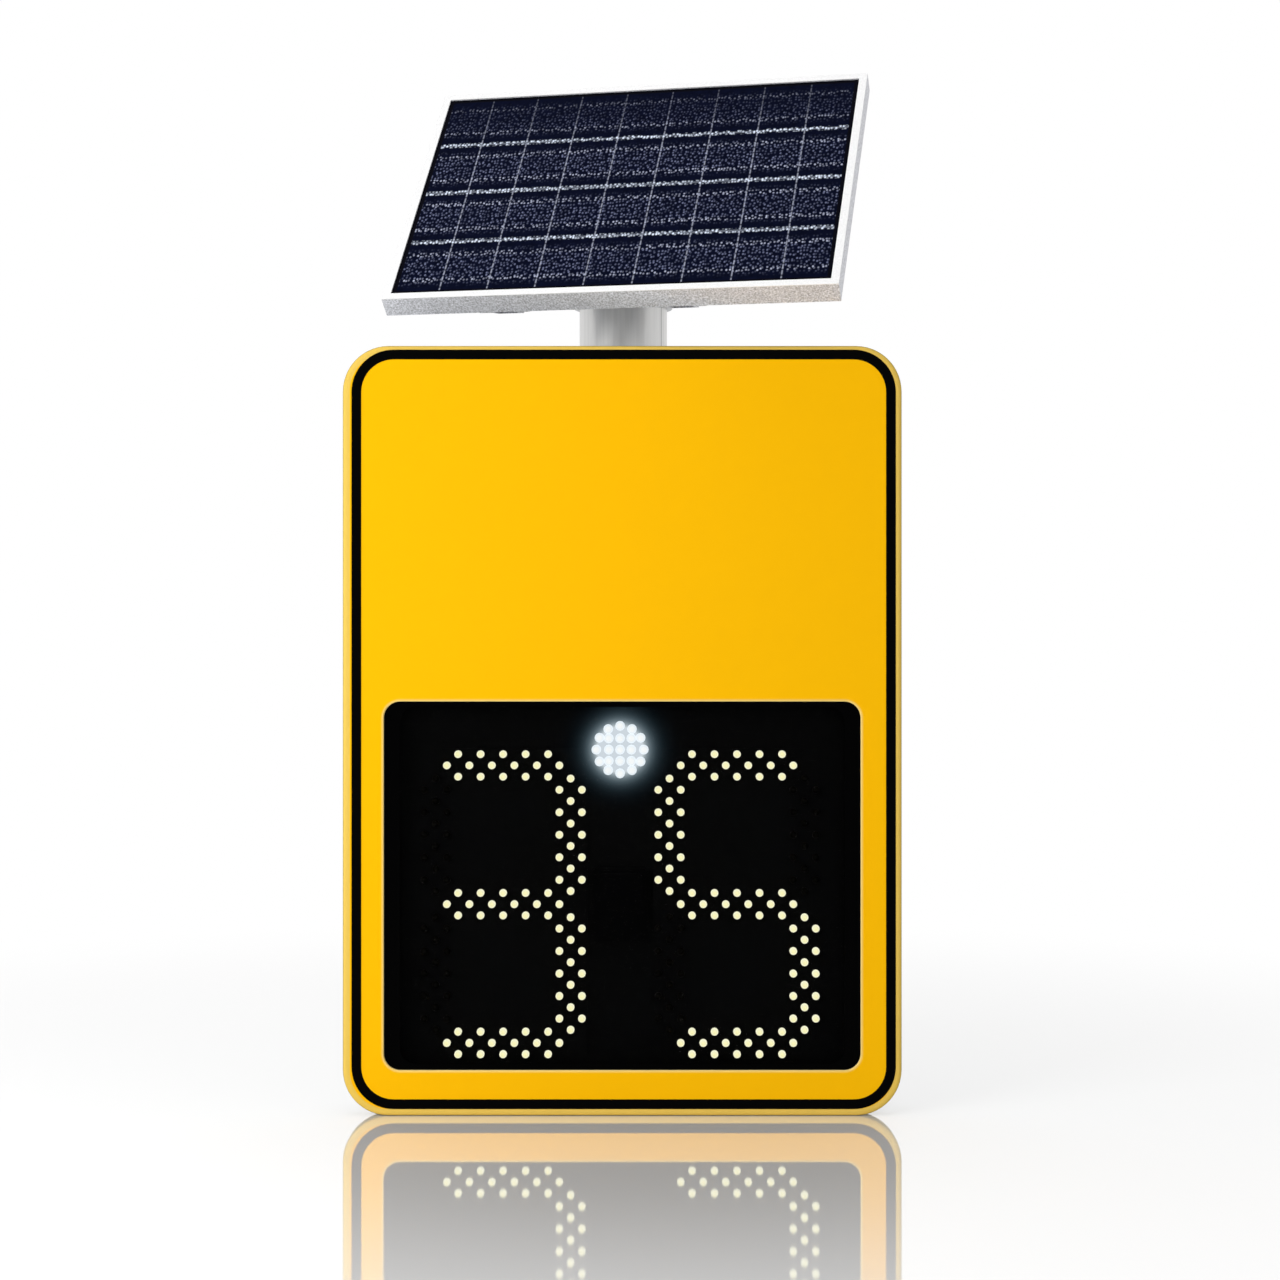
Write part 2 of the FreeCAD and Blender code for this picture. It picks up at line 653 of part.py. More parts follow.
def hat_section(base, top, half_width, foot, thickness):
    """Corners of a hat section as (depth, across), its feet on base and its web's outside on top."""
    inward = thickness if top.value > base.value else -thickness
    side = (
        (top, half_width),
        (base + inward, half_width),
        (base + inward, half_width + foot),
        (base, half_width + foot),
        (base, half_width - thickness),
        (top - inward, half_width - thickness),
    )
    return side + tuple((depth, -across) for depth, across in reversed(side))


# Pole and clamps

def make_pole():
    body = new_body("pole")
    sketch = new_sketch(body, "XY_Plane")
    draw_circle(sketch, pole_radius)
    draw_circle(sketch, pole_radius - d.pole_wall)
    pad(body, sketch, d.pole_height)


def make_bracket(level):
    body = new_body(f"{level}_pole_bracket")
    sketch = new_sketch(body, "YZ_Plane")
    foot = d.bracket_foot
    draw_polygon(sketch, hat_section(-cabinet_back, -web_ahead, d.bracket_height / 2, foot, d.bracket_sheet))
    pad(body, sketch, d.bracket_length, symmetric=True)
    holes = front_sketch(body, web_ahead)
    for side in (-1, 1):
        draw_circle(holes, d.clamp_bolt_diameter / 2 + d.bolt_gap, x=side * clamp_bolt_x)
    pocket(body, holes, d.bracket_sheet, along=True)
    place(body, (0, 0, bracket_heights[level]))


def make_saddles():
    half = d.saddle_width / 2
    saddles = []
    for height in bracket_heights.values():
        ends = (height - d.clamp_height / 2, height + d.clamp_height / 2)
        block = slab((-half, half), (web_ahead - d.saddle_depth, web_ahead), ends)
        seat = cylinder(clamp_inner, d.clamp_height, (0, 0, ends[0]))
        saddles.append(cut(block, seat))
    keep(group(saddles), "pole_saddles")


def make_clamp(level):
    """A strap bent round the back of the pole, with a bolted ear on each side."""
    ring = cut(
        cylinder(clamp_outer, d.clamp_height, sweep=180),
        cylinder(clamp_inner, d.clamp_height),
    )
    reach = clamp_bolt_x + d.clamp_bolt_offset
    ears = [
        box((clamp_inner, reach), (0, d.clamp_sheet), (0, d.clamp_height)),
        box((-reach, -clamp_inner), (0, d.clamp_sheet), (0, d.clamp_height)),
    ]
    hole = d.clamp_bolt_diameter / 2 + d.bolt_gap
    holes = [
        cylinder(hole, d.clamp_sheet, (side * clamp_bolt_x, 0, d.clamp_height / 2), BACK)
        for side in (-1, 1)
    ]
    strap = keep(cut(fuse(ring, *ears), *holes), f"{level}_pole_clamp")
    place(strap, (0, 0, bracket_heights[level] - d.clamp_height / 2))


def make_clamp_bolts():
    nut_ahead = web_ahead + d.bracket_sheet
    tail = (HEX_NUT + HEX_CORNER) / 2 * d.clamp_bolt_diameter
    length = d.clamp_sheet + nut_ahead + tail
    pieces = []
    for height in bracket_heights.values():
        for side in (-1, 1):
            x = side * clamp_bolt_x
            pieces.append(hex_bolt(d.clamp_bolt_diameter, length, (x, d.clamp_sheet, height), AHEAD))
            pieces.append(hex_nut(d.clamp_bolt_diameter, (x, -nut_ahead, height), AHEAD))
    keep(group(pieces), "clamp_bolts")


# Cabinet

def make_cabinet():
    """A folded box with a back, a lip round its front, a battery shelf and holes for locks and gland."""
    body = new_body("cabinet")
    outside = (cabinet_width, cabinet_height, cabinet_corner)
    middle = (0, cabinet_middle)
    rings = (
        (cabinet_back, d.cabinet_sheet, None),
        (cabinet_back, d.cabinet_depth, d.cabinet_sheet),
        (cabinet_front - d.cabinet_sheet, d.cabinet_sheet, lip_reach),
    )
    for ahead, depth, wall in rings:
        sketch = front_sketch(body, ahead, *middle)
        draw_rounded(sketch, *outside)
        if wall:
            draw_rounded(sketch, cabinet_width - 2 * wall, cabinet_height - 2 * wall, cabinet_corner - wall)
        pad(body, sketch, depth)
    shelf = front_sketch(body, cabinet_back, battery_x, shelf_top - d.shelf_sheet)
    half = d.battery_width / 2 + d.shelf_margin
    draw_polygon(shelf, ((-half, 0), (half, 0), (half, d.shelf_sheet), (-half, d.shelf_sheet)))
    pad(body, shelf, d.cabinet_sheet + d.battery_depth)
    gland = front_sketch(body, cabinet_back, d.gland_side, cabinet_bottom + d.gland_rise)
    draw_circle(gland, d.gland_diameter / 2 + d.pole_gap)
    pocket(body, gland, d.cabinet_sheet, along=True)
    locks = new_sketch(body, "YZ_Plane", (0, 0, cabinet_width / 2))
    for height in lock_heights.values():
        draw_circle(locks, d.lock_barrel_diameter / 2 + d.lock_barrel_gap, -lock_ahead, height)
    pocket(body, locks, d.cabinet_sheet)


def make_door_seal():
    inset = d.seal_inset
    width = cabinet_width - 2 * inset
    height = cabinet_height - 2 * inset
    corner = cabinet_corner - inset
    band = d.seal_width
    inner = (width - 2 * band, height - 2 * band, corner - band)
    plate("door_seal", width, height, corner, (0, cabinet_middle), cabinet_front, d.seal_thickness, inner)


def make_cable_gland():
    """A gland through the cabinet's back: a neck, a hexagon body, a domed nut and an inner nut."""
    neck = d.gland_diameter / 2
    at = (d.gland_side, -cabinet_back, cabinet_bottom + d.gland_rise)
    tube = cylinder(neck, d.cabinet_sheet + neck, (0, 0, -d.cabinet_sheet - neck))
    hexagon = prism(neck * 1.5, neck)
    dome = document.addObject("Part::Cone", "dome")
    bind(dome, Radius1=neck * 1.25, Radius2=neck * 0.8, Height=neck)
    place(dome, (0, 0, neck))
    lock_nut = prism(neck * 1.5, neck / 2, (0, 0, -d.cabinet_sheet - neck / 2))
    bore = cylinder(neck / 2, neck * 4, (0, 0, -neck * 2))
    gland = keep(cut(fuse(tube, hexagon, dome, lock_nut), bore), "cable_gland")
    place(gland, at, BACK)


# Inside the cabinet

def make_battery():
    body = new_body("battery")
    at = (battery_x, -battery_ahead)
    steps = (
        (0, 0, d.battery_height),
        (d.battery_lid_inset, d.battery_height, d.battery_lid),
    )
    for inset, rise, height in steps:
        sketch = new_sketch(body, "XY_Plane", (*at, shelf_top + rise))
        draw_rounded(sketch, d.battery_width - 2 * inset, d.battery_depth - 2 * inset, d.battery_corner)
        pad(body, sketch, height)
    top = shelf_top + d.battery_height + d.battery_lid
    posts = new_sketch(body, "XY_Plane", (*at, top))
    half = d.terminal_width / 2
    for side in (-1, 1):
        x = side * (d.battery_width / 2 - d.terminal_inset)
        draw_polygon(posts, ((x - half, -half), (x + half, -half), (x + half, half), (x - half, half)))
    pad(body, posts, d.terminal_height)


def make_battery_strap():
    """A hat-shaped strap over the battery's front, with its feet on the cabinet's back."""
    body = new_body("battery_strap")
    sketch = new_sketch(body, "XY_Plane", (battery_x, 0, shelf_top + d.battery_height / 2))
    front = cabinet_floor + d.battery_depth + d.strap_gap + d.strap_sheet
    half = d.battery_width / 2 + d.strap_gap + d.strap_sheet
    section = hat_section(-cabinet_floor, -front, half, d.strap_foot, d.strap_sheet)
    draw_polygon(sketch, [(across, depth) for depth, across in section])
    pad(body, sketch, d.strap_width, symmetric=True)


def make_controller_board():
    """A board on four pillars with a processor block, a relay and a row of screw terminals."""
    right = cabinet_side - d.controller_side
    left = right - d.controller_width
    bottom = shelf_top + d.controller_rise
    top = bottom + d.controller_height
    board_ahead = cabinet_floor + d.pillar_length
    board_face = board_ahead + d.board_thickness
    inset = d.pillar_inset
    pillars = [
        cylinder(d.pillar_diameter / 2, d.pillar_length, (x, -cabinet_floor, z), AHEAD)
        for x in (left + inset, right - inset)
        for z in (bottom + inset, top - inset)
    ]
    board = slab((left, right), (board_ahead, board_face), (bottom, top))
    processor_size = d.controller_height / 4
    middle_x = left + d.controller_width / 2
    middle_z = bottom + d.controller_height / 2
    processor = slab(
        (middle_x - processor_size, middle_x),
        (board_face, board_face + d.board_thickness),
        (middle_z, middle_z + processor_size),
    )
    relay = slab(
        (middle_x + processor_size / 2, middle_x + processor_size * 1.5),
        (board_face, board_face + d.pillar_length * 1.5),
        (middle_z, middle_z + processor_size / 2),
    )
    terminal_pitch = d.pillar_length
    terminals = []
    for number in range(8):
        x = left + 3 * inset + number * terminal_pitch
        edges = (x, x + terminal_pitch * 0.9)
        depth = (board_face, board_face + d.pillar_length)
        terminals.append(slab(edges, depth, (bottom + inset / 2, bottom + inset * 2)))
    keep(fuse(board, *pillars, processor, relay, *terminals), "controller_board")


def make_charge_controller():
    """A finned block on the cabinet's back."""
    body = new_body("charge_controller")
    x = cabinet_side - d.controller_side - d.charger_width / 2
    bottom = shelf_top + d.controller_rise + d.controller_height + d.charger_gap
    z = bottom + d.charger_height / 2
    block = front_sketch(body, cabinet_floor, x, z)
    draw_rounded(block, d.charger_width, d.charger_height, d.battery_corner)
    pad(body, block, d.charger_depth)
    slots = front_sketch(body, cabinet_floor + d.charger_depth, x, z)
    half = d.fin_slot / 2
    reach = d.charger_height
    usable = d.charger_width.value - d.fin_slot.value - 2 * d.battery_corner.value
    count = int(usable // d.fin_pitch.value)
    for number in range(count):
        middle = (number - (count - 1) / 2) * d.fin_pitch
        corners = ((-half, -reach), (half, -reach), (half, reach), (-half, reach))
        draw_polygon(slots, [(middle + across, up) for across, up in corners])
    pocket(body, slots, d.fin_depth)


# Face and window

def make_face():
    """A folded tray with a bent edge, round corners and the window's cut-out."""
    body = new_body("face_panel")
    outline = front_sketch(body, flange_rear, 0, cabinet_middle)
    draw_rounded(outline, d.face_width, d.face_height, d.face_corner)
    pad(body, outline, d.face_flange)
    soften(body, "Fillet", lambda edge: lies_at_y(edge, -face_front.value), Radius=d.face_edge_radius)
    inside = front_sketch(body, flange_rear, 0, cabinet_middle)
    sheet_twice = 2 * d.face_sheet
    inner_corner = d.face_corner - d.face_sheet
    draw_rounded(inside, d.face_width - sheet_twice, d.face_height - sheet_twice, inner_corner)
    pocket(body, inside, d.face_flange - d.face_sheet, along=True)
    window = front_sketch(body, face_inside, 0, window_middle)
    draw_rounded(window, window_width, d.window_height, d.window_corner)
    pocket(body, window, d.face_sheet, along=True)
    half_width = window_width.value / 2
    low = d.window_bottom.value
    high = window_top.value

    def on_window_edge(edge):
        bounds = edge.BoundBox
        inside_x = bounds.XMin > -half_width - EDGE_SLACK and bounds.XMax < half_width + EDGE_SLACK
        inside_z = bounds.ZMin > low - EDGE_SLACK and bounds.ZMax < high + EDGE_SLACK
        return inside_x and inside_z and lies_at_y(edge, -face_front.value)

    soften(body, "Chamfer", on_window_edge, Size=d.window_bevel)


def make_window():
    middle = (0, window_middle)
    width = 2 * pane_half
    height = d.window_height + 2 * d.pane_overlap
    corner = d.window_corner + d.pane_overlap
    opening = (window_width, d.window_height, d.window_corner)
    plate("window_seal", width, height, corner, middle, pane_front, d.pane_seal, opening)
    plate("display_window", width, height, corner, middle, pane_rear, d.pane_thickness)
    ring_rear = pane_rear - d.retainer_thickness
    plate("window_retainer", width, height, corner, middle, ring_rear, d.retainer_thickness, opening)


# Display

def make_carrier():
    height = carrier_top - carrier_bottom
    middle = (0, (carrier_top + carrier_bottom) / 2)
    rear = carrier_front - d.carrier_sheet
    plate("display_carrier", carrier_width, height, d.carrier_corner, middle, rear, d.carrier_sheet)
    side = carrier_width / 2 - d.standoff_side
    posts = [
        prism(d.standoff_diameter / 2, d.standoff_length, (x, -carrier_front, z), AHEAD)
        for x in (-side, side)
        for z in (carrier_bottom + d.standoff_inset, carrier_top - d.standoff_inset)
    ]
    keep(group(posts), "carrier_standoffs")


def make_lenses(label, spots, middle, radius):
    """Separate lenses at spots around a middle, each a short prism that faces forward."""
    turn = math.pi / LENS_SIDES
    corners = []
    for number in range(LENS_SIDES + 1):
        angle = turn * (2 * number + 1)
        corners.append(FreeCAD.Vector(math.cos(angle), 0, math.sin(angle)) * radius.value)
    face = Part.Face(Part.makePolygon(corners))
    lens = face.extrude(FreeCAD.Vector(0, -d.led_length.value, 0))
    lenses = []
    for x, z in spots:
        copy = lens.copy()
        copy.translate(FreeCAD.Vector(x, 0, z))
        lenses.append(copy)
    feature = document.addObject("Part::Feature", "lenses")
    feature.Shape = Part.makeCompound(lenses)
    keep(feature, label)
    place(feature, (middle[0], -lens_base, middle[1]))


def segment_spots(across, up, upright):
    """Spots of one segment: a middle line of six and two outer lines of five."""
    step = half_pitch.value
    spots = [(along * step, 0.0) for along in SEGMENT_MIDDLE_LINE]
    for line in (-SEGMENT_LINE_STEP * step, SEGMENT_LINE_STEP * step):
        spots += [(along * step, line) for along in SEGMENT_OUTER_LINE]
    if upright:
        spots = [(side, along) for along, side in spots]
    return [(across + x, up + z) for x, z in spots]


def make_digit(side, x):
    """A circuit board with seven segments of lenses."""
    size = (2 * board_half_width, 2 * board_half_height, d.board_margin)
    plate(f"{side}_digit_board", *size, (x, digit_middle), carrier_front, d.board_thickness)
    column = SEGMENT_HALF_SPAN * half_pitch.value
    row = digit_rows.value
    segments = {
        "top": (0, row, False),
        "upper_left": (-column, row / 2, True),
        "upper_right": (column, row / 2, True),
        "middle": (0, 0, False),
        "lower_left": (-column, -row / 2, True),
        "lower_right": (column, -row / 2, True),
        "bottom": (0, -row, False),
    }
    for name, where in segments.items():
        make_lenses(f"{side}_digit_{name}_leds", segment_spots(*where), (x, digit_middle), lens_radius)


def make_strobe():
    """A round board with a three by three grid of lenses inside a ring."""
    body = new_body("strobe_board")
    sketch = front_sketch(body, carrier_front, display_middle, strobe_middle)
    draw_circle(sketch, strobe_radius)
    pad(body, sketch, d.board_thickness)
    grid = d.strobe_grid.value
    spots = [(x * grid, z * grid) for x in (-1, 0, 1) for z in (-1, 0, 1)]
    for number in range(STROBE_RING_COUNT):
        angle = 2 * math.pi * number / STROBE_RING_COUNT
        ring = d.strobe_ring.value
        spots.append((ring * math.cos(angle), ring * math.sin(angle)))
    make_lenses("strobe_leds", spots, (display_middle, strobe_middle), strobe_lens_radius)


def make_radar_module():
    """A flat case with a raised radar window, between the two digit boards."""
    body = new_body("radar_module")
    width = 2 * (strobe_radius - d.radar_gap)
    case = front_sketch(body, carrier_front, display_middle, digit_middle)
    draw_rounded(case, width, d.radar_height, d.radar_corner)
    pad(body, case, d.radar_depth)
    inset = d.radome_inset
    radome = front_sketch(body, carrier_front + d.radar_depth, display_middle, digit_middle)
    draw_rounded(radome, width - 2 * inset, d.radar_height - 2 * inset, d.radar_corner)
    pad(body, radome, d.radome_depth)


# Hinges and locks

def hinge_ends(height):
    """Lower and upper ends of a hinge, and of its middle knuckle."""
    half = d.hinge_length / 2
    middle = d.hinge_middle / 2
    return height - half, height - middle, height + middle, height + half


def make_hinges():
    """Two butt hinges: a leaf on the cabinet's side, a leaf inside the flange of the face, and a pin."""
    cabinet_leaves = []
    door_leaves = []
    pins = []
    wall = -cabinet_width / 2
    flange = d.face_sheet - d.face_width / 2
    leaf = d.hinge_leaf
    bore = d.hinge_pin_diameter / 2 + d.hinge_pin_gap
    line = (hinge_x, -hinge_ahead)
    for height in hinge_heights:
        low, middle_low, middle_high, high = hinge_ends(height)
        hole = cylinder(bore, d.hinge_length, (*line, low))
        rear = hinge_ahead - hinge_radius
        pieces = [slab((wall - leaf, wall), (rear - d.hinge_leaf_width, rear + leaf), (low, high))]
        for ends in ((low, middle_low - d.hinge_gap), (middle_high + d.hinge_gap, high)):
            pieces.append(cylinder(hinge_radius, ends[1] - ends[0], (*line, ends[0])))
            pieces.append(slab((hinge_x, wall), (rear, rear + leaf), ends))
        notch = slab(
            (wall - leaf - d.hinge_gap, wall),
            (rear - d.hinge_gap, rear + leaf),
            (middle_low - d.hinge_gap, middle_high + d.hinge_gap),
        )
        cabinet_leaves.append(cut(fuse(*pieces), hole, notch))
        front = hinge_ahead + hinge_radius
        middle = (middle_low, middle_high)
        knuckle = cylinder(hinge_radius, d.hinge_middle, (*line, middle_low))
        leaf_plate = slab((flange, flange + leaf), (flange_rear, flange_rear + d.hinge_leaf_width), (low, high))
        neck = slab((flange, flange + leaf), (front - leaf, flange_rear), middle)
        web = slab((flange, hinge_x), (front - leaf, front), middle)
        door_hole = cylinder(bore, d.hinge_length, (*line, low))
        door_leaves.append(cut(fuse(knuckle, leaf_plate, neck, web), door_hole))
        pins.append(cylinder(d.hinge_pin_diameter / 2, d.hinge_length, (*line, low)))
    keep(group(cabinet_leaves), "hinge_cabinet_leaves")
    keep(group(door_leaves), "hinge_door_leaves")
    keep(group(pins), "hinge_pins")


def make_lock_barrels():
    wall = cabinet_width / 2
    inner = cam_outer + d.cam_gap
    barrels = []
    for height in lock_heights.values():
        at = (-lock_ahead, height)
        barrel = cylinder(d.lock_barrel_diameter / 2, wall - inner, (inner, *at), RIGHT)
        head = cylinder(d.lock_head_diameter / 2, d.lock_head, (wall, *at), RIGHT)
        nut_start = wall - d.cabinet_sheet - d.lock_nut
        nut = prism(d.lock_head_diameter / 2, d.lock_nut, (nut_start, *at), RIGHT)
        bore = cylinder(d.lock_plug_diameter / 2 + d.lock_plug_gap, wall, (inner, *at), RIGHT)
        barrels.append(cut(fuse(barrel, head, nut), bore))
    keep(group(barrels), "lock_barrels")


def make_lock_cam(level):
    """A turning plug with a key slot, and an arm that points forward while the lock is open."""
    at = (-lock_ahead, lock_heights[level])
    inner = cam_outer - d.cam_sheet
    face = cabinet_width / 2 + d.lock_head
    plug = cylinder(d.lock_plug_diameter / 2, face - inner, (inner, *at), RIGHT)
    half = d.cam_width / 2
    height = lock_heights[level]
    reach = lock_ahead + d.cam_length - half
    arm = slab((inner, cam_outer), (lock_ahead, reach), (height - half, height + half))
    hub = cylinder(half, d.cam_sheet, (inner, *at), RIGHT)
    tip = cylinder(half, d.cam_sheet, (inner, -reach, height), RIGHT)
    slot_half = d.lock_plug_diameter / 3
    slot_depth = d.lock_head
    key_half = d.lock_plug_diameter / 12
    key_slot = slab(
        (face - slot_depth, face),
        (lock_ahead - slot_half, lock_ahead + slot_half),
        (height - key_half, height + key_half),
    )
    keep(cut(fuse(plug, hub, arm, tip), key_slot), f"{level}_lock_cam")


def make_lock_keepers():
    """Hooks on the door, each with a notch for the cam and a bar behind it."""
    keepers = []
    notch_inner = cam_outer - d.cam_sheet - d.cam_gap
    bar_front = lock_ahead - d.cam_width / 2 - d.cam_gap
    bar_rear = bar_front - d.keeper_bar
    notch_front = lock_ahead + d.cam_length + d.cam_gap
    for height in lock_heights.values():
        low = height + d.keeper_rise
        high = low + d.keeper_sheet
        arm = slab((keeper_inner, keeper_outer), (bar_rear, face_inside), (low, high))
        foot_ahead = (face_inside - d.keeper_foot_sheet, face_inside)
        foot = slab((keeper_inner, keeper_outer), foot_ahead, (low - d.keeper_foot, high))
        notch = slab((notch_inner, keeper_outer), (bar_front, notch_front), (low, high))
        keepers.append(cut(fuse(arm, foot), notch))
    keep(group(keepers), "lock_keepers")


# Pole cap and tilt mount

def make_pole_cap():
    """A cup over the pole's end with two ears for the tilt pivot and three set-screw holes."""
    body = new_body("pole_cap")
    inner = clamp_inner
    outer = inner + d.cap_wall
    bottom = d.pole_height - d.cap_sleeve
    roof = d.pole_height + d.cap_wall
    profile = new_sketch(body, "XZ_Plane")
    draw_polygon(
        profile,
        (
            (inner, bottom),
            (outer, bottom),
            (outer, roof),
            (0, roof),
            (0, d.pole_height),
            (inner, d.pole_height),
        ),
    )
    cup = body.newObject("PartDesign::Revolution", "cup")
    cup.Profile = profile
    cup.ReferenceAxis = (profile, ["V_Axis"])
    body.Tip = cup
    ear_sketch = new_sketch(body, "YZ_Plane", (0, roof, d.ear_spacing / 2))
    draw_tab(ear_sketch, d.ear_radius, d.pivot_rise)
    ear = pad(body, ear_sketch, d.ear_sheet)
    other_ear = body.newObject("PartDesign::Mirrored", "other_ear")
    other_ear.Originals = [ear]
    other_ear.MirrorPlane = (origin_feature(body, "YZ_Plane"), [""])
    body.Tip = other_ear
    bolts = new_sketch(body, "YZ_Plane", (0, pivot_height, 0))
    draw_circle(bolts, d.pivot_bolt_diameter / 2 + FASTENER_FIT)
    draw_circle(bolts, d.lock_bolt_diameter / 2 + FASTENER_FIT, 0, -d.lock_bolt_radius)
    pocket(body, bolts)
    screw_sketch = front_sketch(body, 0, 0, bottom + d.set_screw_rise)
    draw_circle(screw_sketch, d.set_screw_diameter / 2 + FASTENER_FIT)
    screw_hole = pocket(body, screw_sketch, outer * 2, along=True)
    screw_holes = body.newObject("PartDesign::PolarPattern", "screw_holes")
    screw_holes.Originals = [screw_hole]
    screw_holes.Axis = (origin_feature(body, "Z_Axis"), [""])
    screw_holes.Occurrences = SET_SCREW_COUNT
    body.Tip = screw_holes
    place(body, frame=swivel_frame)
    start = pole_radius + d.pole_gap / 2
    height = bottom + d.set_screw_rise
    length = outer - start + d.set_screw_head
    screws = []
    for number in range(SET_SCREW_COUNT):
        turned = placement_text(turn=(360 * number / SET_SCREW_COUNT, 0, 0))
        screws.append(cylinder(d.set_screw_diameter / 2, length, (0, -start, height), AHEAD, turned))
    place(keep(group(screws), "cap_set_screws"), frame=swivel_frame)


def make_tilt_bolts():
    """The pivot bolt and the lock bolt, each through both ears and both lugs."""
    bolts = {
        "tilt_pivot_bolt": (d.pivot_bolt_diameter, pivot_height),
        "tilt_lock_bolt": (d.lock_bolt_diameter, pivot_height - d.lock_bolt_radius),
    }
    seat = lug_outer + d.mount_gap
    for label, (diameter, height) in bolts.items():
        length = 2 * seat + diameter
        bolt = hex_bolt(diameter, length, (-seat, 0, height), RIGHT)
        nut = hex_nut(diameter, (seat, 0, height), RIGHT)
        place(keep(group((bolt, nut)), label), frame=swivel_frame)


def make_tilt_bracket():
    """A plate with two round lugs, each with a pivot hole and a curved slot for the lock bolt."""
    body = document.addObject("PartDesign::Body", "tilt_body")
    plate_sketch = new_sketch(body, "XY_Plane", (0, 0, d.pivot_to_plate))
    draw_rounded(plate_sketch, d.bracket_plate_width, d.bracket_plate_height, d.ear_sheet)
    pad(body, plate_sketch, d.bracket_plate_sheet)
    lug_sketch = new_sketch(body, "YZ_Plane", (0, 0, lug_inner))
    draw_segment(lug_sketch, d.lug_radius, d.pivot_to_plate)
    lug = pad(body, lug_sketch, d.lug_sheet)
    other_lug = body.newObject("PartDesign::Mirrored", "other_lug")
    other_lug.Originals = [lug]
    other_lug.MirrorPlane = (origin_feature(body, "YZ_Plane"), [""])
    body.Tip = other_lug
    span = 2 * lug_outer
    slot_half = d.lock_bolt_diameter / 2 + d.bolt_gap
    ends = [
        cylinder(slot_half, span, (-lug_outer, 0, -d.lock_bolt_radius), RIGHT, placement_text(turn=(0, 0, -tilt)))
        for tilt in (d.tilt_low, d.tilt_high)
    ]
    sector_frame = placement_text(turn=(0, 0, -d.tilt_high))
    sector_at = (-lug_outer, 0, 0)
    sweep = d.tilt_high - d.tilt_low
    sector = cut(
        cylinder(d.lock_bolt_radius + slot_half, span, sector_at, RIGHT, sector_frame, sweep),
        cylinder(d.lock_bolt_radius - slot_half, span, sector_at, RIGHT),
    )
    pivot = cylinder(d.pivot_bolt_diameter / 2 + d.bolt_gap, span, sector_at, RIGHT)
    place(keep(cut(body, sector, pivot, *ends), "tilt_bracket"), frame=panel_frame)


# Solar panel

def make_strut(label, side):
    """A hat section up the panel's back, on the feet of the frame, with bevelled ends."""
    body = new_body(label)
    sketch = new_sketch(body, "XZ_Plane")
    section = hat_section(frame_back, strut_top, d.strut_width / 2, d.strut_foot, d.strut_sheet)
    draw_polygon(sketch, [(across, depth) for depth, across in section])
    length = d.panel_height - 2 * d.strut_end_gap
    pad(body, sketch, length, symmetric=True)
    bevels = new_sketch(body, "YZ_Plane")
    end = length / 2
    rise = d.strut_depth - d.strut_sheet
    for way in (-1, 1):
        outer = way * end
        draw_polygon(bevels, ((outer, strut_top), (outer, strut_top + rise), (way * (end - rise), strut_top)))
    pocket(body, bevels)
    place(body, (side * d.strut_spacing / 2, 0, 0), frame=panel_frame)


def rail_section():
    """Corners of the frame's section as (inward, forward): lip, groove, wall and foot."""
    wall = d.frame_sheet
    groove = wall + d.laminate_thickness + d.laminate_gap
    return (
        (0, 0),
        (d.frame_lip, 0),
        (d.frame_lip, -wall),
        (wall, -wall),
        (wall, -groove),
        (d.frame_lip, -groove),
        (d.frame_lip, -groove - wall),
        (wall, -groove - wall),
        (wall, wall - d.frame_depth),
        (d.frame_foot, wall - d.frame_depth),
        (d.frame_foot, -d.frame_depth),
        (0, -d.frame_depth),
    )


def make_rail(label, length, at, turn):
    """One mitred side of the panel's frame."""
    body = new_body(label)
    sketch = new_sketch(body, "YZ_Plane")
    draw_polygon(sketch, rail_section())
    pad(body, sketch, length, symmetric=True)
    end = length / 2
    miter = 2 * d.frame_foot
    corners = new_sketch(body, "XY_Plane")
    for side in (-1, 1):
        draw_polygon(corners, ((side * end, 0), (side * end, miter), (side * (end - miter), miter)))
    pocket(body, corners)
    place(body, (*at, frame_front), (turn, 0, 0), panel_frame)


def make_panel():
    middle = d.panel_offset
    half_width = d.panel_width / 2
    half_height = d.panel_height / 2
    make_rail("frame_bottom_rail", d.panel_width, (middle, -half_height), 0)
    make_rail("frame_right_rail", d.panel_height, (middle + half_width, 0), 90)
    make_rail("frame_top_rail", d.panel_width, (middle, half_height), 180)
    make_rail("frame_left_rail", d.panel_height, (middle - half_width, 0), 270)
    edge = d.frame_sheet + d.laminate_gap
    laminate = box(
        (middle - half_width + edge, middle + half_width - edge),
        (edge - half_height, half_height - edge),
        (laminate_back, laminate_front),
        panel_frame,
    )
    keep(laminate, "solar_laminate")
    make_strut("left_support_strut", -1)
    make_strut("right_support_strut", 1)


def make_junction_box():
    """A box with a raised lid under the laminate, near the panel's upper edge."""
    body = new_body("junction_box")
    at = (0, d.junction_rise)
    lid_start = laminate_back - d.junction_depth
    case = new_sketch(body, "XY_Plane", (*at, lid_start))
    draw_rounded(case, d.junction_width, d.junction_height, d.junction_corner)
    pad(body, case, d.junction_depth)
    inset = 2 * d.junction_lid_inset
    lid = new_sketch(body, "XY_Plane", (*at, lid_start - d.junction_lid))
    draw_rounded(lid, d.junction_width - inset, d.junction_height - inset, d.junction_corner)
    pad(body, lid, d.junction_lid)
    place(body, (d.panel_offset, 0, 0), frame=panel_frame)


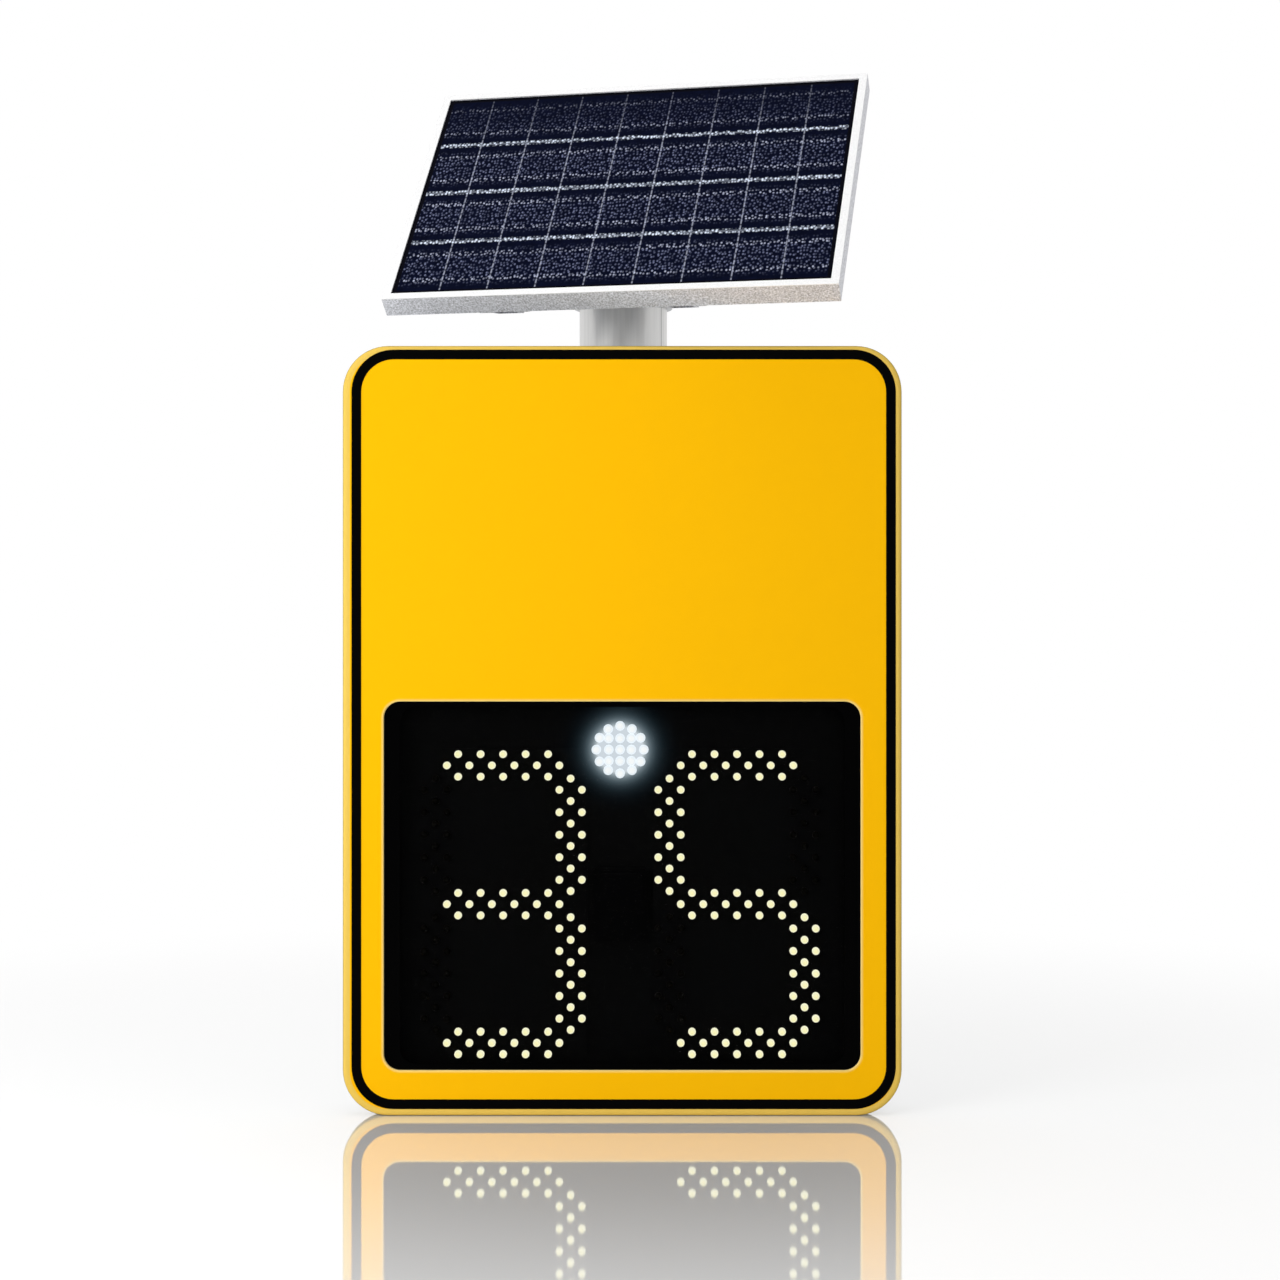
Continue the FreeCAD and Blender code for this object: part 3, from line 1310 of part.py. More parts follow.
def build():
    """Makes every sub-part."""
    make_pole()
    for level in bracket_heights:
        make_bracket(level)
        make_clamp(level)
    make_saddles()
    make_clamp_bolts()
    make_cabinet()
    make_door_seal()
    make_cable_gland()
    make_battery()
    make_battery_strap()
    make_controller_board()
    make_charge_controller()
    make_face()
    make_window()
    make_carrier()
    make_digit("left", display_middle - digit_offset)
    make_digit("right", display_middle + digit_offset)
    make_strobe()
    make_radar_module()
    make_hinges()
    make_lock_barrels()
    make_lock_keepers()
    for level in lock_heights:
        make_lock_cam(level)
    make_pole_cap()
    make_tilt_bolts()
    make_tilt_bracket()
    make_panel()
    make_junction_box()
    document.recompute()


def check():
    """Stops if anything failed to build."""
    for thing in document.Objects:
        if "Invalid" in thing.State or "Error" in thing.State:
            raise RuntimeError(f"{thing.Label} did not build: {thing.State}")
    for thing in sub_parts:
        if thing.Shape.isNull() or not thing.Shape.isValid():
            raise RuntimeError(f"{thing.Label} has no valid shape")


def write():
    """Writes each sub-part to its own file."""
    os.makedirs("parts", exist_ok=True)
    for thing in sub_parts:
        thing.Shape.exportStep(f"parts/{thing.Label}.step")


build()
check()
write()
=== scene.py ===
"""Looks of a radar speed sign: finishes, border, LED lenses, fasteners and the studio around it."""
import json
import logging
import math
from dataclasses import dataclass
from dataclasses import field
from enum import Enum
from typing import Callable
from typing import Iterable
from typing import Sequence

import bmesh
import bpy
from bmesh.types import BMesh
from bmesh.types import BMVert
from bpy.types import Material
from bpy.types import Mesh
from bpy.types import Node
from bpy.types import NodeSocket
from bpy.types import NodeTree
from bpy.types import Object
from mathutils import Matrix
from mathutils import Vector


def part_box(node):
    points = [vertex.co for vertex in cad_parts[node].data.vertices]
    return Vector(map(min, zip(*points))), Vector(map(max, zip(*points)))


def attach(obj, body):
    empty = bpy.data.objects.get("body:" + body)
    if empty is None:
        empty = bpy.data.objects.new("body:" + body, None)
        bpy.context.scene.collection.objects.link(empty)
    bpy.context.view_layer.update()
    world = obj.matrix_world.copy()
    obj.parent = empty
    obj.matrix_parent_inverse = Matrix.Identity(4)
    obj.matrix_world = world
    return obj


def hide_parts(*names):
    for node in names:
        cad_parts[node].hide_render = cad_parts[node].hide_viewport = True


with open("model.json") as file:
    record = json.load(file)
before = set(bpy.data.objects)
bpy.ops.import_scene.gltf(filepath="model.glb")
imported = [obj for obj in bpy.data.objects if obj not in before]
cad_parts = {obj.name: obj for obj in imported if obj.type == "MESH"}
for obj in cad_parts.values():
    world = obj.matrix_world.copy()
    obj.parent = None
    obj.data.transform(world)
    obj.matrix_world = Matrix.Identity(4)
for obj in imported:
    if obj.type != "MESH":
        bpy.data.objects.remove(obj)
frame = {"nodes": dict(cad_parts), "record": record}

LOG = logging.getLogger("speed_sign")
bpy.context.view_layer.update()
MM = 0.001

Colour = tuple[float, float, float]
Triple = tuple[float, float, float]
Value = float | NodeSocket
# Where a soft step is 0, then where it is 1
Span = tuple[float, float]
# A point of a profile, as shares of the shape's radius and height
Share = tuple[float, float]

# Places on the sign, in metres
FACE_LOW, FACE_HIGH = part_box("face_panel")
FACE_FRONT = FACE_LOW.y
FACE_HALF_WIDTH = (FACE_HIGH.x - FACE_LOW.x) / 2
FACE_HALF_HEIGHT = (FACE_HIGH.z - FACE_LOW.z) / 2
FACE_MIDDLE = (FACE_HIGH.z + FACE_LOW.z) / 2
FACE_CORNER = 50 * MM
WINDOW_HALF_WIDTH = 260 * MM
WINDOW_HALF_HEIGHT = 201 * MM
WINDOW_MIDDLE = 251 * MM
WINDOW_CORNER = 18 * MM
STROBE_LOW, STROBE_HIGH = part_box("strobe_leds")
STROBE_MIDDLE = (STROBE_LOW + STROBE_HIGH) / 2
CARRIER_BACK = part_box("display_carrier")[1].y
BATTERY_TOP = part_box("battery")[1].z
BOARD_LOW, BOARD_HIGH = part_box("controller_board")
BOARD_FACE = BOARD_HIGH.y - 11.6 * MM

# The solar panel's own frame: turned on the mast, then tipped back
PANEL_PIVOT = 994 * MM
PANEL_TURN = math.radians(-13)
PANEL_TIP = math.radians(50)
PANEL_MIDDLE = 20 * MM
PANEL_HALF_WIDTH = 257 * MM
PANEL_HALF_HEIGHT = 182 * MM
PANEL_LIP = 9 * MM
GLASS_HALF_WIDTH = PANEL_HALF_WIDTH - PANEL_LIP
GLASS_HALF_HEIGHT = PANEL_HALF_HEIGHT - PANEL_LIP
PANEL = (
    Matrix.Translation((0, 0, PANEL_PIVOT))
    @ Matrix.Rotation(PANEL_TURN, 4, "Z")
    @ Matrix.Rotation(PANEL_TIP, 4, "X")
)

# Shared settings of meshes and shaders
SAME_POINT = 0.002 * MM
SAME_CORNER = 0.01 * MM
STRIPE_CORE = 0.6
GRAIN_DETAIL = 4.0
GRAIN_RANGE = (0.3, 0.7)
EVEN: Triple = (1.0, 1.0, 1.0)
WHITE = (1.0, 1.0, 1.0, 1.0)
OUT_OF_FACE: Triple = (0, -1, 0)
INTO_CABINET: Triple = (0, 1, 0)


class Body(Enum):
    """The moving bodies that pieces ride on."""

    MAST = "mast_and_cabinet"
    DOOR = "front_door"
    PANEL = "solar_panel"


class Graph:
    """Adds shader nodes to one tree and joins them."""

    def __init__(self, tree: NodeTree) -> None:
        """Keeps the material's or node group's tree that the nodes go into."""
        self.tree = tree

    def add(self, kind: str, **settings: object) -> Node:
        """Adds a node.

        Args:
            kind: the node's type name.
            settings: properties to set on it.

        Returns:
            The new node.
        """
        node = self.tree.nodes.new(kind)
        for name, value in settings.items():
            setattr(node, name, value)
        return node

    def feed(self, socket: NodeSocket, value: object) -> None:
        """Sets a socket to a constant, or joins another socket to it.

        Args:
            socket: the input to fill.
            value: a constant or an output socket.
        """
        if isinstance(value, NodeSocket):
            self.tree.links.new(value, socket)
        else:
            socket.default_value = value

    def math(self, operation: str, *values: Value) -> NodeSocket:
        """Joins values with one math node.

        Args:
            operation: the math node's operation.
            values: one to three numbers or sockets.

        Returns:
            The result.
        """
        node = self.add("ShaderNodeMath", operation=operation)
        for socket, value in zip(node.inputs, values):
            self.feed(socket, value)
        return node.outputs[0]

    def times(self, first: Value, second: Value) -> NodeSocket:
        """Multiplies two values."""
        return self.math("MULTIPLY", first, second)

    def minus(self, first: Value, second: Value) -> NodeSocket:
        """Takes the second value from the first."""
        return self.math("SUBTRACT", first, second)

    def spread(self, share: Value, low: float, high: float) -> NodeSocket:
        """Gives low where the share is 0 and high where it is 1."""
        return self.math("MULTIPLY_ADD", share, high - low, low)

    def vector(self, operation: str, *values: object) -> Node:
        """Joins vectors with one vector math node.

        Args:
            operation: the node's operation.
            values: vectors or sockets.

        Returns:
            The node, whose outputs hold the result.
        """
        node = self.add("ShaderNodeVectorMath", operation=operation)
        for socket, value in zip(node.inputs, values):
            self.feed(socket, value)
        return node

    def length(self, vector: NodeSocket) -> NodeSocket:
        """Returns a vector's length."""
        return self.vector("LENGTH", vector).outputs["Value"]

    def scaled(self, colour: object, factor: Value) -> NodeSocket:
        """Multiplies a colour by a number.

        Args:
            colour: a colour or a socket.
            factor: how much of it is kept.

        Returns:
            The scaled colour.
        """
        node = self.vector("SCALE", colour)
        self.feed(node.inputs["Scale"], factor)
        return node.outputs[0]

    def step(self, value: Value, start: float, end: float) -> NodeSocket:
        """Rises smoothly from 0 at start to 1 at end; falls if start is above end.

        Args:
            value: what is measured.
            start: where the result is 0.
            end: where the result is 1.

        Returns:
            The smooth step.
        """
        node = self.add("ShaderNodeMapRange", interpolation_type="SMOOTHSTEP")
        low, high = min(start, end), max(start, end)
        self.feed(node.inputs["Value"], value)
        node.inputs["From Min"].default_value = low
        node.inputs["From Max"].default_value = high
        node.inputs["To Min"].default_value = 0.0 if start < end else 1.0
        node.inputs["To Max"].default_value = 1.0 if start < end else 0.0
        return node.outputs["Result"]

    def mix(self, factor: Value, first: object, second: object) -> NodeSocket:
        """Blends two colours.

        Args:
            factor: 0 for the first, 1 for the second.
            first: a colour or a socket.
            second: a colour or a socket.

        Returns:
            The blended colour.
        """
        node = self.add("ShaderNodeMix", data_type="RGBA")
        sockets = [s for s in node.inputs if s.enabled]
        self.feed(sockets[0], factor)
        for socket, value in zip(sockets[1:], (first, second)):
            self.feed(socket, value if isinstance(value, NodeSocket) else (*value, 1.0))
        return next(s for s in node.outputs if s.enabled)

    def parts(self, vector: NodeSocket) -> tuple[NodeSocket, NodeSocket, NodeSocket]:
        """Splits a vector.

        Args:
            vector: the vector.

        Returns:
            Its x, y and z.
        """
        node = self.add("ShaderNodeSeparateXYZ")
        self.feed(node.inputs[0], vector)
        return node.outputs[0], node.outputs[1], node.outputs[2]

    def point(self) -> NodeSocket:
        """Returns the place on the piece, in its own coordinates."""
        return self.add("ShaderNodeTexCoord").outputs["Object"]

    def place(self) -> tuple[NodeSocket, NodeSocket, NodeSocket]:
        """Returns the x, y and z of the place on the piece."""
        return self.parts(self.point())

    def stripe(self, value: Value, middle: float, half_width: float) -> NodeSocket:
        """Draws a soft line: 1 on the middle of the value, 0 beyond the half width."""
        off = self.math("ABSOLUTE", self.minus(value, middle))
        return self.step(off, half_width, half_width * STRIPE_CORE)


@dataclass(frozen=True)
class Effect:
    """A shader node group that several finishes share; it gives one value."""

    name: str
    inputs: tuple[tuple[str, object], ...]
    wire: Callable[[Graph, Sequence[NodeSocket]], NodeSocket]

    def tree(self) -> NodeTree:
        """Finds the group's tree, or builds it on first use.

        Returns:
            The tree.
        """
        known = bpy.data.node_groups.get(self.name)
        if known:
            return known
        tree = bpy.data.node_groups.new(self.name, "ShaderNodeTree")
        for label, start in self.inputs:
            kind = "NodeSocketFloat" if isinstance(start, float) else "NodeSocketVector"
            socket = tree.interface.new_socket(name=label, in_out="INPUT", socket_type=kind)
            socket.default_value = start
        tree.interface.new_socket(name="Value", in_out="OUTPUT", socket_type="NodeSocketFloat")
        graph = Graph(tree)
        source = graph.add("NodeGroupInput")
        target = graph.add("NodeGroupOutput")
        graph.feed(target.inputs["Value"], self.wire(graph, source.outputs[: len(self.inputs)]))
        return tree

    def use(self, graph: Graph, *values: object) -> NodeSocket:
        """Puts the group into a tree.

        Args:
            graph: the tree that uses it.
            values: one value or socket for each input, in order.

        Returns:
            The group's value.
        """
        node = graph.add("ShaderNodeGroup", node_tree=self.tree())
        for socket, value in zip(node.inputs, values):
            graph.feed(socket, value)
        return node.outputs["Value"]


def wire_grain(graph: Graph, inputs: Sequence[NodeSocket]) -> NodeSocket:
    """Wires stretched noise.

    Args:
        graph: the group's tree.
        inputs: the stretch and scale, and the lowest and highest value.

    Returns:
        The noise.
    """
    stretch, scale, low, high = inputs
    noise = graph.add("ShaderNodeTexNoise")
    graph.feed(noise.inputs["Vector"], graph.vector("MULTIPLY", graph.point(), stretch).outputs[0])
    graph.feed(noise.inputs["Scale"], scale)
    noise.inputs["Detail"].default_value = GRAIN_DETAIL
    spread = graph.add("ShaderNodeMapRange")
    graph.feed(spread.inputs["Value"], noise.outputs[0])
    for name, value in zip(("From Min", "From Max", "To Min", "To Max"), (*GRAIN_RANGE, low, high)):
        graph.feed(spread.inputs[name], value)
    return spread.outputs["Result"]


def wire_rounded_box(graph: Graph, inputs: Sequence[NodeSocket]) -> NodeSocket:
    """Wires the distance from the edge of a rounded rectangle.

    Args:
        graph: the group's tree.
        inputs: the place across and up, half of the width and height, and the corners' radius.

    Returns:
        The distance, below 0 inside the rectangle.
    """
    across, up, half_width, half_height, radius = inputs
    past = []
    for place, half in ((across, half_width), (up, half_height)):
        past.append(graph.minus(graph.math("ABSOLUTE", place), graph.minus(half, radius)))
    outside = graph.add("ShaderNodeCombineXYZ")
    for socket, distance in zip(outside.inputs, past):
        graph.feed(socket, graph.math("MAXIMUM", distance, 0.0))
    inside = graph.math("MINIMUM", graph.math("MAXIMUM", *past), 0.0)
    return graph.minus(graph.math("ADD", graph.length(outside.outputs[0]), inside), radius)


def wire_glow(graph: Graph, inputs: Sequence[NodeSocket]) -> NodeSocket:
    """Wires the strobe's halo, painted on as emission: level near its middle, dying away outside.

    Args:
        graph: the group's tree.
        inputs: the middle, the reach where the light is 1, how far it falls in, and its limit.

    Returns:
        The light.
    """
    middle, reach, fall, limit = inputs
    away = graph.vector("SUBTRACT", graph.point(), middle).outputs[0]
    radius = graph.length(graph.vector("MULTIPLY", away, (1.0, 0.0, 1.0)).outputs[0])
    drop = graph.math("DIVIDE", graph.minus(reach, radius), fall)
    return graph.math("MINIMUM", graph.math("EXPONENT", drop), limit)


GRAIN = Effect("Grain", (("Stretch", EVEN), ("Scale", 60.0), ("Low", 0.9), ("High", 1.1)), wire_grain)
ROUNDED_BOX = Effect(
    "Rounded box distance",
    (("Across", 0.0), ("Up", 0.0), ("Half width", 0.1), ("Half height", 0.1), ("Radius", 0.01)),
    wire_rounded_box,
)
# The strobe's halo, painted as emission on the display's black finishes
STROBE_GLOW = Effect(
    "Strobe glow",
    (("Middle", (0.0, 0.0, 0.0)), ("Reach", 0.03), ("Fall", 0.005), ("Limit", 2.0)),
    wire_glow,
)


def window_distance(graph: Graph, side: float = 0.0, end: float = 0.0) -> NodeSocket:
    """Measures from the outline of the window.

    Args:
        graph: the material's tree.
        side: how far the outline is drawn in at the sides.
        end: how far it is drawn in at the top and the bottom.

    Returns:
        The distance, below 0 inside the outline.
    """
    across, _, up = graph.place()
    above = graph.minus(up, WINDOW_MIDDLE)
    half_width = WINDOW_HALF_WIDTH - side
    half_height = WINDOW_HALF_HEIGHT - end
    return ROUNDED_BOX.use(graph, across, above, half_width, half_height, WINDOW_CORNER)


def panel_place(graph: Graph) -> NodeSocket:
    """Turns the place on the piece into the solar panel's own frame.

    Args:
        graph: the material's tree.

    Returns:
        The place across the panel, up it and out of it.
    """
    turn = graph.add("ShaderNodeMapping", vector_type="TEXTURE")
    graph.feed(turn.inputs["Vector"], graph.point())
    turn.inputs["Location"].default_value = (0.0, 0.0, PANEL_PIVOT)
    turn.inputs["Rotation"].default_value = (PANEL_TIP, 0.0, PANEL_TURN)
    return turn.outputs[0]


@dataclass(frozen=True)
class Finish:
    """A surface: its colour and gloss, and the grain that breaks them up."""

    colour: Colour
    roughness: float
    metallic: float = 0.0
    specular: float = 0.5
    tone: float = 0.05
    stretch: Triple = EVEN
    scale: float = 90.0
    bump: float = 0.05

    def material(self, name: str) -> Material:
        """Makes the finish into a material.

        Args:
            name: the material's name.

        Returns:
            The new material.
        """
        material = bpy.data.materials.new(name)
        material.use_nodes = True
        graph = Graph(material.node_tree)
        shader = material.node_tree.nodes["Principled BSDF"]
        grain = GRAIN.use(graph, self.stretch, self.scale, 1 - self.tone, 1 + self.tone)
        graph.feed(shader.inputs["Base Color"], self.paint(graph, grain))
        graph.feed(shader.inputs["Roughness"], graph.times(grain, self.roughness))
        shader.inputs["Metallic"].default_value = self.metallic
        shader.inputs["Specular IOR Level"].default_value = self.specular
        relief = graph.add("ShaderNodeBump")
        relief.inputs["Strength"].default_value = self.bump
        relief.inputs["Distance"].default_value = MM
        graph.feed(relief.inputs["Height"], grain)
        graph.feed(shader.inputs["Normal"], relief.outputs[0])
        self.extend(graph, shader)
        return material

    def paint(self, graph: Graph, grain: NodeSocket) -> NodeSocket:
        """Returns the surface's colour; the grain is about 1 and varies over the surface."""
        return graph.scaled(self.colour, grain)

    def extend(self, graph: Graph, shader: Node) -> None:
        """Adds to the shader what this kind of finish has beyond colour and gloss."""


@dataclass(frozen=True)
class TubeFinish(Finish):
    """Drawn tube with a welded seam down one side."""

    seam_angle: float = math.radians(60)
    seam_half_width: float = 0.022
    seam_depth: float = 0.45

    def paint(self, graph: Graph, grain: NodeSocket) -> NodeSocket:
        """Darkens the colour along the seam.

        Args:
            graph: the material's tree.
            grain: values about 1 that vary over the surface.

        Returns:
            The colour.
        """
        across, back, _ = graph.place()
        angle = graph.math("ARCTAN2", across, graph.times(back, -1.0))
        seam = graph.stripe(angle, self.seam_angle, self.seam_half_width)
        kept = graph.minus(1.0, graph.times(seam, self.seam_depth))
        return graph.scaled(self.colour, graph.times(grain, kept))


@dataclass(frozen=True)
class SheetingFinish(Finish):
    """Reflective sheeting on the front of a folded aluminium tray.

    Spans are distances from an outline, below 0 inside it, or depths behind the front of the face.
    """

    # Paler margin: partly the sheeting's own pale margin, partly a painted highlight where the tray bends
    # back
    margin_and_sheen_colour: Colour = (0.80, 0.54, 0.10)
    edge_colour: Colour = (0.34, 0.26, 0.04)
    window_edge_colour: Colour = (0.93, 0.68, 0.22)
    metal_colour: Colour = (0.60, 0.61, 0.62)
    margin_and_sheen_span: Span = (-8.3 * MM, -7.7 * MM)
    edge_span: Span = (-1.2 * MM, -0.48 * MM)
    window_span: Span = (3.6 * MM, 0.0)
    bare_depth_span: Span = (1.8 * MM, 2.4 * MM)
    bare_span: Span = (-1.2 * MM, -1.8 * MM)

    def paint(self, graph: Graph, grain: NodeSocket) -> NodeSocket:
        """Paints the field, the pale margin with a painted highlight where the tray bends, the darker outer
        rim, the paler band round the window and the bare inside.

        Args:
            graph: the material's tree.
            grain: values about 1 that vary over the surface.

        Returns:
            The colour.
        """
        to_edge = self.to_edge(graph)
        to_window = window_distance(graph)
        colour = graph.scaled(self.colour, grain)
        # Pale margin, with a painted highlight on the bend
        colour = graph.mix(graph.step(to_edge, *self.margin_and_sheen_span), colour, self.margin_and_sheen_colour)
        colour = graph.mix(graph.step(to_edge, *self.edge_span), colour, self.edge_colour)
        colour = graph.mix(graph.step(to_window, *self.window_span), colour, self.window_edge_colour)
        return graph.mix(self.bare(graph), colour, self.metal_colour)

    def to_edge(self, graph: Graph) -> NodeSocket:
        """Measures from the tray's outline.

        Args:
            graph: the material's tree.

        Returns:
            The distance, below 0 inside the outline.
        """
        across, _, up = graph.place()
        above = graph.minus(up, FACE_MIDDLE)
        return ROUNDED_BOX.use(graph, across, above, FACE_HALF_WIDTH, FACE_HALF_HEIGHT, FACE_CORNER)

    def bare(self, graph: Graph) -> NodeSocket:
        """Finds the inside of the tray, behind its sheet.

        Args:
            graph: the material's tree.

        Returns:
            1 on the inside and 0 elsewhere.
        """
        depth = graph.minus(graph.place()[1], FACE_FRONT)
        behind = graph.step(depth, *self.bare_depth_span)
        within = graph.step(self.to_edge(graph), *self.bare_span)
        return graph.times(behind, within)

    def extend(self, graph: Graph, shader: Node) -> None:
        """Makes the bare inside metallic."""
        graph.feed(shader.inputs["Metallic"], self.bare(graph))


@dataclass(frozen=True)
class GlowFinish(Finish):
    """Black of the display: dull in front, with the strobe's halo painted on round the strobe as emission,
    and paler behind.
    """

    back_colour: Colour = (0.022, 0.022, 0.024)
    back_span: Span = (-0.6 * MM, -0.2 * MM)
    # Painted glow: the strobe's halo, laid on the black round the strobe as emission
    glow_colour: Colour = (0.135, 0.178, 0.202)
    reach: float = 32.7 * MM
    falls: Triple = (4.7 * MM, 5.3 * MM, 5.6 * MM)
    limits: Triple = (5.0, 4.2, 4.0)

    def paint(self, graph: Graph, grain: NodeSocket) -> NodeSocket:
        """Paints the front black and the back of the carrier dark grey."""
        return graph.scaled(graph.mix(self.behind(graph), self.colour, self.back_colour), grain)

    def behind(self, graph: Graph) -> NodeSocket:
        """Returns 1 on the back of the display carrier and 0 in front of it."""
        return graph.step(graph.minus(graph.place()[1], CARRIER_BACK), *self.back_span)

    def extend(self, graph: Graph, shader: Node) -> None:
        """Paints the strobe's halo on as emission, which turns bluer as it dies away.

        Args:
            graph: the material's tree.
            shader: the material's shader.
        """
        in_front = graph.minus(1.0, self.behind(graph))
        light = graph.add("ShaderNodeCombineColor")
        for socket, strength, fall, limit in zip(light.inputs, self.glow_colour, self.falls, self.limits):
            glow = STROBE_GLOW.use(graph, STROBE_MIDDLE, self.reach, fall, limit)
            graph.feed(socket, graph.times(graph.times(glow, strength), in_front))
        graph.feed(shader.inputs["Emission Color"], light.outputs[0])
        shader.inputs["Emission Strength"].default_value = 1.0


@dataclass(frozen=True)
class LitLensFinish(Finish):
    """Lit lens, whose tip and rim differ in colour."""

    tip_colour: Colour = (1.0, 1.0, 1.0)
    rim_colour: Colour = (1.0, 0.8, 0.2)
    rim_span: Span = (-163 * MM, -160 * MM)

    def extend(self, graph: Graph, shader: Node) -> None:
        """Adds the lens's own light.

        Args:
            graph: the material's tree.
            shader: the material's shader.
        """
        toward_rim = graph.step(graph.place()[1], *self.rim_span)
        light = graph.mix(toward_rim, self.tip_colour, self.rim_colour)
        graph.feed(shader.inputs["Emission Color"], light)
        shader.inputs["Emission Strength"].default_value = 1.0


@dataclass(frozen=True)
class PaneFinish(Finish):
    """Thin clear plastic with a black border printed round it, which hides what is beside the display."""

    alpha: float = 0.05
    ink_colour: Colour = (0.0008, 0.0008, 0.0009)
    ink_span: Span = (-0.2 * MM, 0.2 * MM)
    side_border: float = 17 * MM
    end_border: float = 6 * MM

    def inked(self, graph: Graph) -> NodeSocket:
        """Returns 1 on the printed border and 0 on the clear part."""
        return graph.step(window_distance(graph, self.side_border, self.end_border), *self.ink_span)

    def paint(self, graph: Graph, grain: NodeSocket) -> NodeSocket:
        """Paints the clear part and the border."""
        return graph.scaled(graph.mix(self.inked(graph), self.colour, self.ink_colour), grain)

    def extend(self, graph: Graph, shader: Node) -> None:
        """Lets what is behind the clear part show through."""
        graph.feed(shader.inputs["Alpha"], graph.spread(self.inked(graph), self.alpha, 1.0))


@dataclass(frozen=True)
class FrameFinish(Finish):
    """Extruded frame: a smooth lip and sides with the sparkle of etched metal."""

    side_colour: Colour = (0.63, 0.64, 0.68)
    side_span: Span = (69.4 * MM, 69.0 * MM)
    sparkle_scale: float = 520.0
    sparkle: float = 0.45

    def paint(self, graph: Graph, grain: NodeSocket) -> NodeSocket:
        """Paints the lip plain and the sides speckled.

        Args:
            graph: the material's tree.
            grain: values about 1 that vary over the surface.

        Returns:
            The colour.
        """
        beside = graph.step(graph.parts(panel_place(graph))[2], *self.side_span)
        speckle = GRAIN.use(graph, self.stretch, self.sparkle_scale, 1 - self.sparkle, 1 + self.sparkle)
        return graph.mix(beside, graph.scaled(self.colour, grain), graph.scaled(self.side_colour, speckle))


